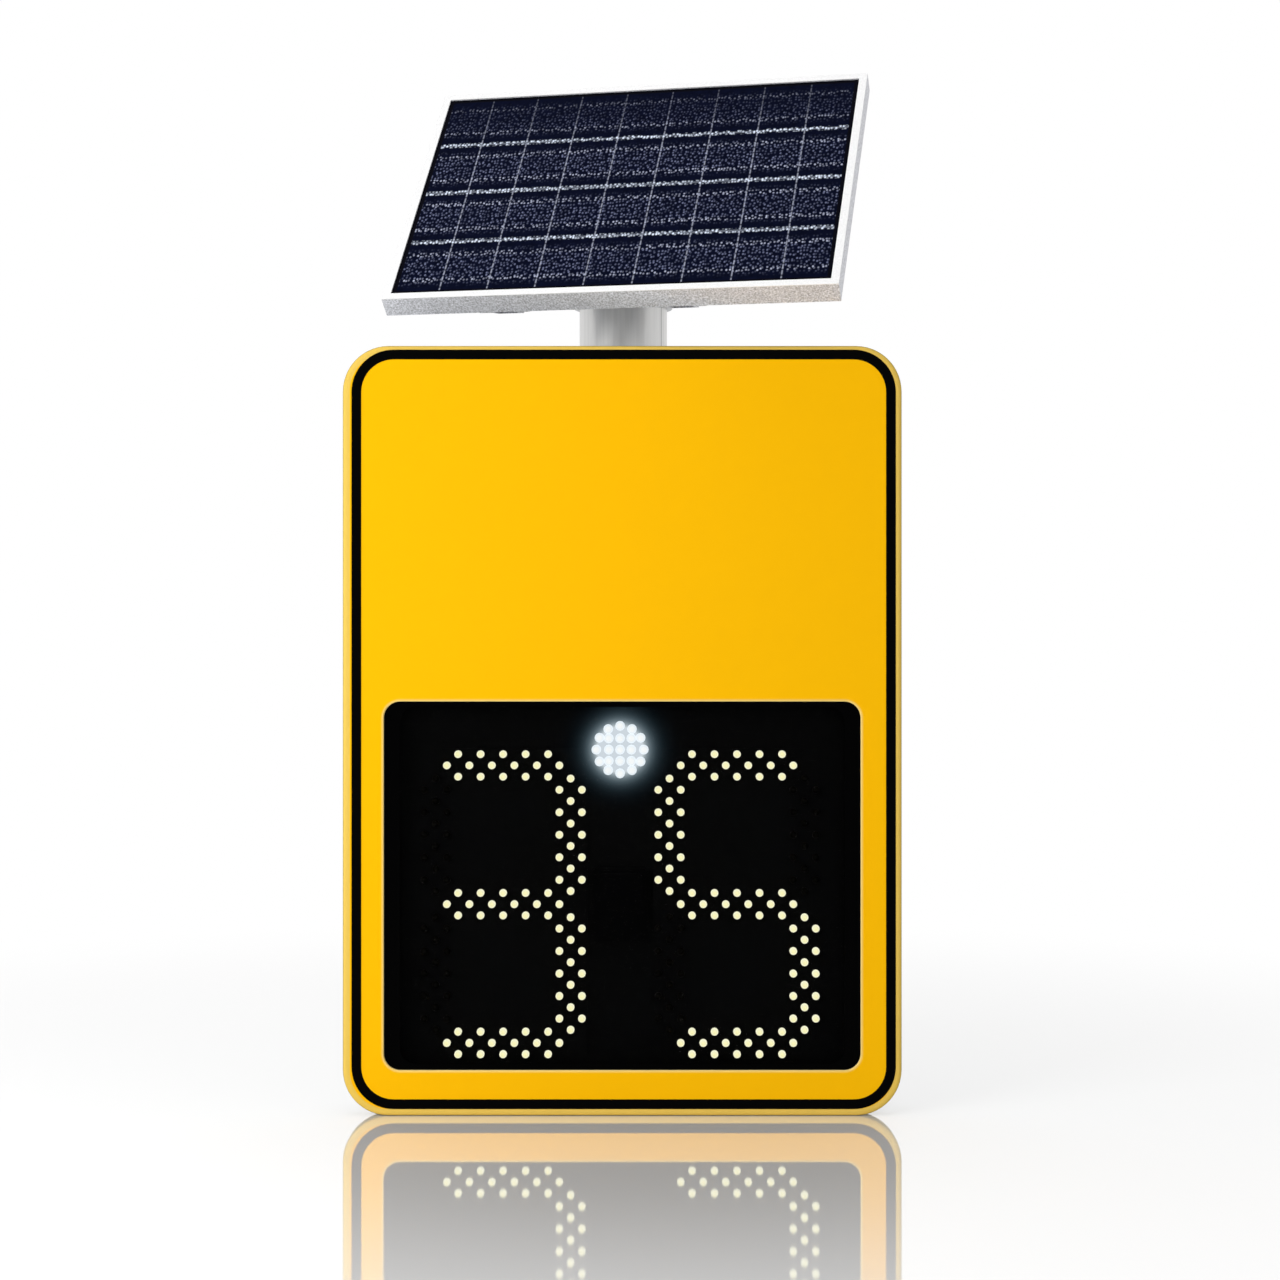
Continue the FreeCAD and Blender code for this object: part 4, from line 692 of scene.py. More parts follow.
@dataclass(frozen=True)
class SolarFinish(Finish):
    """Solar cells in rows under glass, joined by ribbons, on a white backing sheet.

    The spans of glints, ribbons and gaps are shares of a row, measured from the nearest gap or ribbon.
    """

    columns: int = 9
    rows: int = 4
    cell_margin: float = 5 * MM
    cell_corner: float = 2 * MM
    cell_span: Span = (0.4 * MM, -0.4 * MM)
    back_span: Span = (67.1 * MM, 65.1 * MM)
    edge_colour: Colour = (0.003, 0.003, 0.006)
    back_colour: Colour = (0.82, 0.83, 0.84)
    flake_colour: Colour = (0.150, 0.168, 0.280)
    ribbon_colour: Colour = (0.66, 0.70, 0.88)
    gap_colour: Colour = (0.76, 0.84, 1.0)
    flake_pitch: float = 3.8 * MM
    flake_stretch: float = 1.4
    flake_scatter: float = 0.8
    flake_span: Span = (0.5, 0.15)
    flake_power: float = 2.0
    least_bright: float = 0.45
    glint_span: Span = (0.10, 0.30)
    ribbon_place: float = 0.25
    ribbon_span: Span = (0.05, 0.025)
    ribbon_strength: float = 0.6
    column_span: Span = (1.2 * MM, 0.36 * MM)
    dashes_per_row: float = 9.0
    dash_span: Span = (0.05, 0.25)
    dash_strengths: tuple[float, float] = (0.08, 0.40)
    core_span: Span = (0.026, 0.008)
    core_strength: float = 0.2
    fringe_span: Span = (0.055, 0.015)
    fringe_strength: float = 1.4
    inner_span: Span = (1.75, 1.5)
    uneven_scale: float = 9.0
    uneven_strengths: tuple[float, float] = (0.6, 1.15)
    # Painted shade: glints, ribbons and dashes dim toward the panel's top row
    shade_span: Span = (3.7, 2.8)
    least_lit: float = 0.3

    def paint(self, graph: Graph, grain: NodeSocket) -> NodeSocket:
        """Paints the cells in front, their dark edge and the sheet behind them.

        Args:
            graph: the material's tree.
            grain: values about 1 that vary over the surface.

        Returns:
            The colour.
        """
        flat = panel_place(graph)
        across, up, height = graph.parts(flat)
        across = graph.minus(across, PANEL_MIDDLE)
        column = graph.math("DIVIDE", graph.math("ADD", across, GLASS_HALF_WIDTH), self.pitch_across())
        pitch_up = 2 * GLASS_HALF_HEIGHT / self.rows
        row = graph.math("DIVIDE", graph.math("ADD", up, GLASS_HALF_HEIGHT), pitch_up)
        half_width = GLASS_HALF_WIDTH - self.cell_margin
        half_height = GLASS_HALF_HEIGHT - self.cell_margin
        to_edge = ROUNDED_BOX.use(graph, across, up, half_width, half_height, self.cell_corner)
        cells = self.cells(graph, self.flakes(graph, flat), graph.scaled(self.colour, grain), column, row)
        front = graph.mix(graph.step(to_edge, *self.cell_span), self.edge_colour, cells)
        return graph.mix(graph.step(height, *self.back_span), front, self.back_colour)

    def pitch_across(self) -> float:
        """Returns the width of a column."""
        return 2 * GLASS_HALF_WIDTH / self.columns

    def flakes(self, graph: Graph, flat: NodeSocket) -> NodeSocket:
        """Scatters the crystals' glints.

        Args:
            graph: the material's tree.
            flat: the place on the panel.

        Returns:
            The glints, from 0 between them to 1.
        """
        spots = graph.add("ShaderNodeTexVoronoi", feature="F1", voronoi_dimensions="2D")
        stretched = graph.vector("MULTIPLY", flat, (1, 1 / self.flake_stretch, 1)).outputs[0]
        graph.feed(spots.inputs["Vector"], stretched)
        spots.inputs["Scale"].default_value = 1 / self.flake_pitch
        spots.inputs["Randomness"].default_value = self.flake_scatter
        bright = graph.spread(graph.parts(spots.outputs["Color"])[0], self.least_bright, 1.0)
        return graph.times(graph.step(spots.outputs["Distance"], *self.flake_span), bright)

    def cells(
        self, graph: Graph, flakes: NodeSocket, ground: NodeSocket, column: NodeSocket, row: NodeSocket
    ) -> NodeSocket:
        """Paints the cells, their ribbons and the gaps between them.

        Args:
            graph: the material's tree.
            flakes: the crystals' glints.
            ground: the cells' own colour.
            column: columns counted across the panel.
            row: rows counted up the panel.

        Returns:
            The colour.
        """
        from_gap = graph.math("PINGPONG", row, 0.5)
        # Painted shade: glints, ribbons and dashes dim toward the panel's top row
        lit = graph.spread(graph.step(row, *self.shade_span), self.least_lit, 1.0)
        stipple = graph.math("POWER", flakes, self.flake_power)
        glints = graph.times(stipple, graph.step(from_gap, *self.glint_span))
        colour = graph.mix(graph.times(glints, lit), ground, self.flake_colour)
        from_ribbon = graph.math("ABSOLUTE", graph.minus(from_gap, self.ribbon_place))
        dotted = graph.times(stipple, self.ribbon_strength)
        ribbon = graph.times(graph.step(from_ribbon, *self.ribbon_span), dotted)
        colour = graph.mix(graph.times(ribbon, lit), colour, self.ribbon_colour)
        to_side = graph.times(graph.math("PINGPONG", column, 0.5), self.pitch_across())
        dashed = graph.times(graph.step(to_side, *self.column_span), self.dashes(graph, row, lit))
        colour = graph.mix(dashed, colour, self.ribbon_colour)
        return graph.mix(self.gaps(graph, flakes, from_gap, row), colour, self.gap_colour)

    def dashes(self, graph: Graph, row: NodeSocket, lit: NodeSocket) -> NodeSocket:
        """Breaks a line between columns up into dashes.

        Args:
            graph: the material's tree.
            row: rows counted along the line.
            lit: how bright this part of the panel is painted, dimmer toward the top row.

        Returns:
            The line's strength.
        """
        count = graph.times(row, self.dashes_per_row)
        dash = graph.step(graph.math("PINGPONG", count, 0.5), *self.dash_span)
        return graph.times(graph.spread(dash, *self.dash_strengths), lit)

    def gaps(self, graph: Graph, flakes: NodeSocket, from_gap: NodeSocket, row: NodeSocket) -> NodeSocket:
        """Draws the gaps between rows: a faint core and a fringe of bright flakes.

        Args:
            graph: the material's tree.
            flakes: the crystals' glints.
            from_gap: the share of a row to the nearest gap.
            row: rows counted up the panel.

        Returns:
            The gaps' strength, which is 0 at the panel's own edges.
        """
        from_middle = graph.math("ABSOLUTE", graph.minus(row, self.rows / 2))
        core = graph.times(graph.step(from_gap, *self.core_span), self.core_strength)
        strong = graph.times(flakes, self.fringe_strength)
        fringe = graph.times(graph.step(from_gap, *self.fringe_span), strong)
        gap = graph.times(graph.math("MAXIMUM", core, fringe), graph.step(from_middle, *self.inner_span))
        return graph.times(gap, GRAIN.use(graph, EVEN, self.uneven_scale, *self.uneven_strengths))


@dataclass(frozen=True)
class BatteryFinish(Finish):
    """Moulded battery case with bare lead posts."""

    post_colour: Colour = (0.50, 0.50, 0.52)
    post_span: Span = (-6.9 * MM, -6.6 * MM)

    def posts(self, graph: Graph) -> NodeSocket:
        """Returns 1 on the posts and 0 on the case."""
        return graph.step(graph.minus(graph.place()[2], BATTERY_TOP), *self.post_span)

    def paint(self, graph: Graph, grain: NodeSocket) -> NodeSocket:
        """Paints the case and its posts."""
        return graph.scaled(graph.mix(self.posts(graph), self.colour, self.post_colour), grain)

    def extend(self, graph: Graph, shader: Node) -> None:
        """Makes the posts metallic."""
        graph.feed(shader.inputs["Metallic"], self.posts(graph))


@dataclass(frozen=True)
class BoardFinish(Finish):
    """Circuit board: tracks and solder joints in the lacquer, dark parts and blue terminals on it."""

    part_colour: Colour = (0.014, 0.014, 0.015)
    terminal_colour: Colour = (0.025, 0.10, 0.32)
    track_colour: Colour = (0.030, 0.22, 0.085)
    solder_colour: Colour = (0.60, 0.61, 0.60)
    terminal_span: Span = (19 * MM, 18 * MM)
    raised_span: Span = (-0.2 * MM, -0.5 * MM)
    track_pitch: float = 4 * MM
    track_width: float = 0.48 * MM
    track_length: float = 24 * MM
    track_offset: float = 0.35
    track_squash: float = 0.6
    joint_pitch: float = 5 * MM
    joint_span: Span = (0.9 * MM, 0.63 * MM)
    clump_stretch: Triple = (1.0, 0.2, 1.0)
    clump_scale: float = 55.0
    clump_span: Span = (0.55, 0.65)

    def paint(self, graph: Graph, grain: NodeSocket) -> NodeSocket:
        """Paints the lacquer, the tracks, the joints and the parts.

        Args:
            graph: the material's tree.
            grain: values about 1 that vary over the surface.

        Returns:
            The colour.
        """
        across, depth, up = graph.place()
        lanes = self.lanes(graph, across, up)
        colour = graph.mix(lanes, graph.scaled(self.colour, grain), self.track_colour)
        colour = graph.mix(self.joints(graph, across, up), colour, self.solder_colour)
        terminal = graph.step(graph.minus(up, BOARD_LOW.z), *self.terminal_span)
        part = graph.mix(terminal, self.part_colour, self.terminal_colour)
        return graph.mix(graph.step(graph.minus(depth, BOARD_FACE), *self.raised_span), colour, part)

    def lanes(self, graph: Graph, across: NodeSocket, up: NodeSocket) -> NodeSocket:
        """Draws the tracks.

        Args:
            graph: the material's tree.
            across: the place across the board.
            up: the place up the board.

        Returns:
            1 on the tracks.
        """
        tracks = graph.add("ShaderNodeTexBrick", offset=self.track_offset, squash=self.track_squash)
        flat = graph.add("ShaderNodeCombineXYZ")
        graph.feed(flat.inputs[0], across)
        graph.feed(flat.inputs[1], up)
        graph.feed(tracks.inputs["Vector"], flat.outputs[0])
        tracks.inputs["Scale"].default_value = 1.0
        tracks.inputs["Mortar Size"].default_value = self.track_width
        tracks.inputs["Brick Width"].default_value = self.track_length
        tracks.inputs["Row Height"].default_value = self.track_pitch
        return tracks.outputs["Fac"]

    def joints(self, graph: Graph, across: NodeSocket, up: NodeSocket) -> NodeSocket:
        """Draws the solder joints, which stand in clumps.

        Args:
            graph: the material's tree.
            across: the place across the board.
            up: the place up the board.

        Returns:
            1 on the joints.
        """
        off = graph.add("ShaderNodeCombineXYZ")
        for socket, place in zip(off.inputs, (across, up)):
            share = graph.math("PINGPONG", graph.math("DIVIDE", place, self.joint_pitch), 0.5)
            graph.feed(socket, graph.times(share, self.joint_pitch))
        spot = graph.step(graph.length(off.outputs[0]), *self.joint_span)
        noise = GRAIN.use(graph, self.clump_stretch, self.clump_scale, 0.0, 1.0)
        return graph.times(spot, graph.step(noise, *self.clump_span))


BLACK: Colour = (0.0012, 0.0012, 0.0013)
FINISHES: dict[str, Finish] = {
    "galvanised_tube": TubeFinish(
        (0.72, 0.715, 0.705), 0.30, 0.6, tone=0.06, stretch=(1, 1, 0.04), scale=260
    ),
    "zinc_steel": Finish((0.56, 0.57, 0.58), 0.38, 1.0, tone=0.12, scale=70, bump=0.08),
    "bright_steel": Finish((0.66, 0.66, 0.66), 0.24, 1.0, tone=0.08, scale=240),
    "cast_aluminium": Finish((0.60, 0.61, 0.62), 0.46, 1.0, tone=0.10, scale=420, bump=0.25),
    "cabinet_aluminium": Finish((0.58, 0.59, 0.60), 0.5, tone=0.04, scale=900, bump=0.18),
    "frame_aluminium": FrameFinish((0.90, 0.90, 0.90), 0.42, 0.35, tone=0.08, scale=620, bump=0.12),
    "lock_chrome": Finish((0.72, 0.72, 0.73), 0.14, 1.0, tone=0.05, scale=160),
    "black_rubber": Finish((0.012, 0.012, 0.012), 0.75, specular=0.25, tone=0.2, scale=500, bump=0.2),
    "black_plastic": Finish((0.010, 0.010, 0.011), 0.55, specular=0.25, tone=0.15, scale=800, bump=0.15),
    "battery_case": BatteryFinish(
        (0.035, 0.037, 0.042), 0.5, specular=0.4, tone=0.12, scale=700, bump=0.15
    ),
    "green_board": BoardFinish((0.012, 0.11, 0.040), 0.4, tone=0.10, scale=150, bump=0.05),
    "black_metal": GlowFinish(BLACK, 0.7, specular=0.02, tone=0.15, scale=600, bump=0.1),
    "black_board": GlowFinish(BLACK, 0.7, specular=0.02, tone=0.15, scale=300, bump=0.05),
    "yellow_sheeting": SheetingFinish(
        (0.97, 0.500, 0.0015), 0.5, specular=0.03, tone=0.012, scale=1400, bump=0.03
    ),
    "clear_pane": PaneFinish((0.004, 0.004, 0.004), 0.12, specular=0.012, tone=0.05, scale=30, bump=0.0),
    "solar_glass": SolarFinish(
        (0.0022, 0.0035, 0.0140), 0.16, specular=0.005, tone=0.25, scale=120, bump=0.0
    ),
    "amber_lens_lit": LitLensFinish(
        (0.05, 0.03, 0.004), 0.3, specular=0.1, tip_colour=(1.0, 0.97, 0.54), rim_colour=(0.98, 0.98, 0.70)
    ),
    "amber_lens_dark": Finish((0.0016, 0.0014, 0.0010), 0.5, specular=0.012, tone=0.2, scale=300),
    "white_lens_lit": LitLensFinish(
        (0.05, 0.05, 0.05), 0.3, specular=0.1, tip_colour=(0.97, 1.0, 1.0), rim_colour=(0.85, 0.94, 1.0)
    ),
}
VINYL = Finish((0.0009, 0.0009, 0.0009), 0.5, specular=0.02, tone=0.1, scale=900, bump=0.03)
CAPACITOR_SLEEVE = Finish((0.016, 0.018, 0.034), 0.35, tone=0.1, scale=200)

# Finishes of single nodes, where they differ from their slot's
NODE_FINISHES: dict[str, Finish] = {
    "radar_module": Finish((0.0008, 0.0008, 0.0009), 0.7, specular=0.008, tone=0.15, scale=800, bump=0.1),
    "charge_controller": Finish((0.040, 0.041, 0.044), 0.38, 0.7, tone=0.1, scale=500, bump=0.06),
}


def finish_mesh(bm: BMesh, name: str, smooth_below: float = 40.0) -> Mesh:
    """Turns a bmesh into a tidy mesh.

    Args:
        bm: the shape, which is freed.
        name: the mesh's name.
        smooth_below: edges that turn less than this many degrees are shaded smooth.

    Returns:
        The new mesh.
    """
    bmesh.ops.remove_doubles(bm, verts=bm.verts[:], dist=SAME_POINT)
    bmesh.ops.recalc_face_normals(bm, faces=bm.faces[:])
    for face in bm.faces:
        face.smooth = True
    for edge in bm.edges:
        edge.smooth = edge.is_manifold and edge.calc_face_angle() < math.radians(smooth_below)
    mesh = bpy.data.meshes.new(name)
    bm.to_mesh(mesh)
    bm.free()
    return mesh


def add_piece(mesh: Mesh, material: Material, body: Body) -> Object:
    """Puts a mesh into the scene as a piece of the sign.

    Args:
        mesh: the shape, already in its place.
        material: its finish.
        body: what it moves with.

    Returns:
        The new piece.
    """
    piece = bpy.data.objects.new(mesh.name, mesh)
    bpy.context.scene.collection.objects.link(piece)
    mesh.materials.clear()
    mesh.materials.append(material)
    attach(piece, body.value)
    LOG.info("%s: %d faces on %s", piece.name, len(mesh.polygons), body.value)
    return piece


def copies(shape: Mesh, places: Iterable[Matrix]) -> BMesh:
    """Copies a shape to several places and removes the shape.

    Args:
        shape: what is copied.
        places: one matrix for each copy.

    Returns:
        All of the copies.
    """
    bm = bmesh.new()
    for place in places:
        before = len(bm.verts)
        bm.from_mesh(shape)
        bm.verts.ensure_lookup_table()
        bmesh.ops.transform(bm, matrix=place, verts=bm.verts[before:])
    bpy.data.meshes.remove(shape)
    return bm


def facing(spot: Sequence[float], direction: Sequence[float]) -> Matrix:
    """Returns a place at the spot whose own z axis points along the direction."""
    turn = Vector(direction).to_track_quat("Z", "Y").to_matrix().to_4x4()
    return Matrix.Translation(spot) @ turn


def turned(shares: Sequence[Share], radius: float, height: float, sides: int, foot: float = 0.0) -> BMesh:
    """Turns a profile about the z axis.

    Args:
        shares: the profile's points, as shares of the radius and the height.
        radius: the shape's radius.
        height: the shape's height.
        sides: faces round the axis.
        foot: the height that it stands at.

    Returns:
        The turned shape.
    """
    bm = bmesh.new()
    points = [bm.verts.new((radius * across, 0, foot + height * up)) for across, up in shares]
    edges = [bm.edges.new(pair) for pair in zip(points, points[1:])]
    bmesh.ops.spin(
        bm,
        geom=points + edges,
        cent=(0, 0, 0),
        axis=(0, 0, 1),
        angle=2 * math.pi,
        steps=sides,
        use_merge=True,
    )
    bmesh.ops.remove_doubles(bm, verts=bm.verts[:], dist=SAME_CORNER)
    return bm


class Head(Enum):
    """Kinds of fastener head."""

    HEX = "hex"
    PAN = "pan"
    RIVET = "rivet"


# Profiles: a washer, and a round head's rim and its top, domed on a rivet and with a drive in a screw
WASHER: tuple[Share, ...] = ((0, 0), (1, 0), (1, 1), (0, 1))
HEAD_RIM: tuple[Share, ...] = ((0, 0), (1, 0), (1, 0.4), (0.82, 0.82))
HEAD_TOPS: dict[Head, tuple[Share, ...]] = {
    Head.RIVET: ((0.5, 0.96), (0, 1)),
    Head.PAN: ((0.6, 1), (0.36, 1), (0.324, 0.45), (0, 0.45)),
}
WASHER_SHEET = 1.2 * MM
WASHER_SIDES = 20
HEAD_SIDES = 16
HEX_CHAMFER = 0.14


@dataclass(frozen=True)
class Fastener:
    """A bolt, screw or rivet, seen from its head."""

    kind: Head
    width: float
    height: float
    washer: float = 0.0

    def shape(self, name: str) -> Mesh:
        """Builds the head, standing on z = 0.

        Args:
            name: the mesh's name.

        Returns:
            The head's mesh.
        """
        lift = WASHER_SHEET if self.washer else 0.0
        if self.kind is Head.HEX:
            bm = self.hexagon(lift)
        else:
            profile = (*HEAD_RIM, *HEAD_TOPS[self.kind])
            bm = turned(profile, self.width / 2, self.height, HEAD_SIDES, lift)
        if self.washer:
            plate = turned(WASHER, self.washer / 2, lift, WASHER_SIDES)
            ring = finish_mesh(plate, name + "_washer")
            bm.from_mesh(ring)
            bpy.data.meshes.remove(ring)
        return finish_mesh(bm, name)

    def hexagon(self, lift: float) -> BMesh:
        """Builds a hexagon head with a chamfered top.

        Args:
            lift: the height it stands at.

        Returns:
            The head.
        """
        bm = bmesh.new()
        corner = self.width / math.sqrt(3)
        half = self.height / 2
        middle = Matrix.Translation((0, 0, lift + half))
        bmesh.ops.create_cone(
            bm, cap_ends=True, segments=6, radius1=corner, radius2=corner, depth=self.height, matrix=middle
        )
        top = [edge for edge in bm.edges if all(v.co.z > lift + half for v in edge.verts)]
        chamfer = self.height * HEX_CHAMFER
        bmesh.ops.bevel(
            bm, geom=top, offset=chamfer, segments=2, profile=0.5, affect="EDGES", material=-1
        )
        return bm


@dataclass
class Finisher:
    """Gives every CAD node its material and hands materials out by slot."""

    made: dict[str, Material] = field(default_factory=dict)

    def of(self, slot: str) -> Material:
        """Finds a slot's material, or makes it on first use.

        Args:
            slot: a material slot of the record.

        Returns:
            The material.
        """
        if slot not in self.made:
            self.made[slot] = FINISHES[slot].material(slot)
        return self.made[slot]

    def dress(self) -> None:
        """Puts each CAD node's finish on it."""
        for entry in frame["record"]["subparts"]:
            node = frame["nodes"][entry["node"]]
            node.data.materials.clear()
            node.data.materials.append(self.of(entry["material_slot"]))
        for name, finish in NODE_FINISHES.items():
            frame["nodes"][name].data.materials[0] = finish.material(name)
        LOG.info("dressed %d nodes in %d finishes", len(frame["nodes"]), len(self.made))


@dataclass
class SignFace:
    """The border on the yellow face."""

    film: float = 0.25 * MM
    border_half_width: float = 296.6 * MM
    border_half_height: float = 413.8 * MM
    border_middle: tuple[float, float] = (1.6 * MM, 421.6 * MM)
    border_width: float = 10.6 * MM
    border_corner: float = 46 * MM
    corner_segments: int = 16

    def build(self) -> None:
        """Gives the border its thickness and stands it on the face."""
        bm = self.ring()
        raised = bmesh.ops.extrude_face_region(bm, geom=bm.faces[:])["geom"]
        tops = [part for part in raised if isinstance(part, BMVert)]
        bmesh.ops.translate(bm, vec=(0, 0, self.film), verts=tops)
        upright = Matrix.Translation((0, FACE_FRONT, 0)) @ Matrix.Rotation(math.pi / 2, 4, "X")
        bmesh.ops.transform(bm, matrix=upright, verts=bm.verts[:])
        vinyl = VINYL.material("black_film")
        add_piece(finish_mesh(bm, "border"), vinyl, Body.DOOR)

    def ring(self) -> BMesh:
        """Draws the border flat.

        Returns:
            A flat ring with round corners.
        """
        bm = bmesh.new()
        bmesh.ops.create_grid(bm, x_segments=1, y_segments=1, size=1)
        bmesh.ops.scale(bm, vec=(self.border_half_width, self.border_half_height, 1), verts=bm.verts[:])
        bmesh.ops.bevel(
            bm,
            geom=bm.verts[:],
            offset=self.border_corner,
            segments=self.corner_segments,
            profile=0.5,
            affect="VERTICES",
            material=-1,
        )
        inner = bm.faces[:]
        bmesh.ops.inset_region(
            bm, faces=inner, thickness=self.border_width, use_even_offset=True, use_boundary=True
        )
        bmesh.ops.delete(bm, geom=inner, context="FACES")
        bmesh.ops.translate(bm, vec=(*self.border_middle, 0), verts=bm.verts[:])
        return bm


@dataclass
class Display:
    """The lenses of the digits and the strobe."""

    finisher: Finisher
    sides: int = 12
    shoulder: float = 0.42
    dome_angles: Triple = (35, 65, 90)
    smooth_below: float = 80.0
    corner_slack: float = 1.2

    def build(self) -> None:
        """Puts a domed lens over every LED."""
        for entry in frame["record"]["subparts"]:
            if entry["node"].endswith("_leds"):
                self.lenses(entry["node"], entry["material_slot"])

    def lenses(self, node: str, slot: str) -> None:
        """Replaces a group of plain lenses with domed ones.

        Args:
            node: the CAD node of the group.
            slot: its material slot.
        """
        low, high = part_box(node)
        mesh = frame["nodes"][node].data
        middles = self.middles(mesh)
        shape = self.dome(self.radius(mesh, middles[0]), high.y - low.y)
        bm = copies(shape, [facing((m.x, high.y, m.z), OUT_OF_FACE) for m in middles])
        domes = finish_mesh(bm, node + "_domes", self.smooth_below)
        piece = add_piece(domes, self.finisher.of(slot), Body.DOOR)
        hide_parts(node)

    def middles(self, mesh: Mesh) -> list[Vector]:
        """Finds the middle of every separate lens in a mesh.

        Args:
            mesh: the CAD node's mesh.

        Returns:
            One point for each lens.
        """
        bm = bmesh.new()
        bm.from_mesh(mesh)
        bmesh.ops.remove_doubles(bm, verts=bm.verts[:], dist=SAME_CORNER)
        known = set()
        found = []
        for vertex in bm.verts:
            if vertex not in known:
                island = self.island(vertex)
                known.update(island)
                found.append(sum((v.co for v in island), Vector()) / len(island))
        bm.free()
        return found

    def island(self, start: BMVert) -> list[BMVert]:
        """Gathers the vertices joined to one vertex.

        Args:
            start: any vertex of the lens.

        Returns:
            All of the lens's vertices, in the order they were reached.
        """
        reached = [start]
        for vertex in reached:
            for edge in vertex.link_edges:
                other = edge.other_vert(vertex)
                if other not in reached:
                    reached.append(other)
        return reached

    def radius(self, mesh: Mesh, middle: Vector) -> float:
        """Measures a lens.

        Args:
            mesh: the CAD node's mesh.
            middle: the lens's middle.

        Returns:
            The distance from the middle to the lens's corners.
        """
        reaches = [math.hypot(v.co.x - middle.x, v.co.z - middle.z) for v in mesh.vertices]
        return max(reach for reach in reaches if reach < min(reaches) * self.corner_slack)

    def dome(self, radius: float, height: float) -> Mesh:
        """Builds one lens: a short wall and a rounded top.

        Args:
            radius: the lens's radius.
            height: how far it stands out.

        Returns:
            The lens's mesh, standing on z = 0.
        """
        profile = [(1.0, 0.0), (1.0, self.shoulder)]
        for degrees in self.dome_angles:
            angle = math.radians(degrees)
            rise = (1 - self.shoulder) * math.sin(angle)
            profile.append((max(math.cos(angle), 0.0), self.shoulder + rise))
        return finish_mesh(turned(profile, radius, height, self.sides), "lens", self.smooth_below)


@dataclass
class Fixings:
    """The bolts, screws and rivets that hold the sub-assemblies together."""

    finisher: Finisher
    bracket_bolt: Fastener = Fastener(Head.HEX, 10 * MM, 4.5 * MM, 14 * MM)
    bracket_sheet: float = 4 * MM
    bracket_foot: float = 18 * MM
    bracket_inset: float = 22 * MM
    hinge_rivet: Fastener = Fastener(Head.RIVET, 6 * MM, 1.6 * MM)
    hinge_leaf: float = 80 * MM
    hinge_inset: float = 7 * MM
    rivet_shares: Triple = (0.18, 0.5, 0.82)
    strut_bolt: Fastener = Fastener(Head.HEX, 13 * MM, 5.3 * MM, 18 * MM)
    strut_nut: Fastener = Fastener(Head.HEX, 13 * MM, 6.5 * MM, 18 * MM)
    frame_bolt: Fastener = Fastener(Head.HEX, 8 * MM, 3.6 * MM, 11 * MM)
    strut_spread: float = 100 * MM
    strut_bolt_up: float = 25 * MM
    strut_flange: float = 22 * MM
    frame_inset: float = 12 * MM
    plate_back: float = 21 * MM
    strut_top: float = 27.5 * MM
    flange_back: float = 42.5 * MM
    junction_screw: Fastener = Fastener(Head.PAN, 5 * MM, 1.8 * MM)
    junction_up: float = 112 * MM
    junction_half_width: float = 36 * MM
    junction_half_height: float = 24 * MM
    junction_back: float = 44.1 * MM
    carrier_screw: Fastener = Fastener(Head.PAN, 6 * MM, 2.2 * MM, 8 * MM)
    board_screw: Fastener = Fastener(Head.PAN, 6 * MM, 2.2 * MM, 7.5 * MM)
    screw_inset: float = 8 * MM

    def build(self) -> None:
        """Adds the fasteners of each sub-assembly."""
        self.brackets()
        self.hinges()
        self.struts()
        self.junction_box()
        self.carrier()
        self.controller()

    def fix(self, name: str, head: Fastener, places: Sequence[Matrix], body: Body) -> None:
        """Adds a set of like fasteners as one piece.

        Args:
            name: the piece's name.
            head: what each one looks like.
            places: where they are; z points out of the surface.
            body: what they move with.
        """
        heads = finish_mesh(copies(head.shape(name + "_head"), places), name)
        add_piece(heads, self.finisher.of("bright_steel"), body)

    def brackets(self) -> None:
        """Bolts each pole bracket's feet to the cabinet."""
        places = []
        for node in ("lower_pole_bracket", "upper_pole_bracket"):
            low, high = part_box(node)
            rear = low.y + self.bracket_sheet
            for z in (low.z + self.bracket_foot / 2, high.z - self.bracket_foot / 2):
                for x in (low.x + self.bracket_inset, high.x - self.bracket_inset):
                    places.append(facing((x, rear, z), INTO_CABINET))
        self.fix("bracket_bolts", self.bracket_bolt, places, Body.MAST)

    def hinges(self) -> None:
        """Rivets the hinges' leaves to the cabinet's side."""
        low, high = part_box("hinge_cabinet_leaves")
        places = []
        for foot in (low.z, high.z - self.hinge_leaf):
            for share in self.rivet_shares:
                spot = (low.x, high.y - self.hinge_inset, foot + self.hinge_leaf * share)
                places.append(facing(spot, (-1, 0, 0)))
        self.fix("hinge_rivets", self.hinge_rivet, places, Body.MAST)

    def struts(self) -> None:
        """Bolts the struts to the tilt bracket's plate and to the panel's frame."""
        bolts, nuts, feet = [], [], []
        for side in (-1, 1):
            for end in (-1, 1):
                x, y = side * self.strut_spread, end * self.strut_bolt_up
                bolts.append(PANEL @ facing((x, y, self.plate_back), (0, 0, -1)))
                nuts.append(PANEL @ facing((x, y, self.strut_top), (0, 0, 1)))
                for edge in (-1, 1):
                    flange = x + edge * self.strut_flange
                    rail = end * (PANEL_HALF_HEIGHT - self.frame_inset)
                    feet.append(PANEL @ facing((flange, rail, self.flange_back), (0, 0, -1)))
        self.fix("strut_bolts", self.strut_bolt, bolts, Body.PANEL)
        self.fix("strut_nuts", self.strut_nut, nuts, Body.PANEL)
        self.fix("frame_bolts", self.frame_bolt, feet, Body.PANEL)

    def junction_box(self) -> None:
        """Screws down the lid of the junction box on the panel's back."""
        places = []
        half_width, half_height = self.junction_half_width, self.junction_half_height
        for x in (PANEL_MIDDLE - half_width, PANEL_MIDDLE + half_width):
            for y in (self.junction_up - half_height, self.junction_up + half_height):
                places.append(PANEL @ facing((x, y, self.junction_back), (0, 0, -1)))
        self.fix("junction_screws", self.junction_screw, places, Body.PANEL)

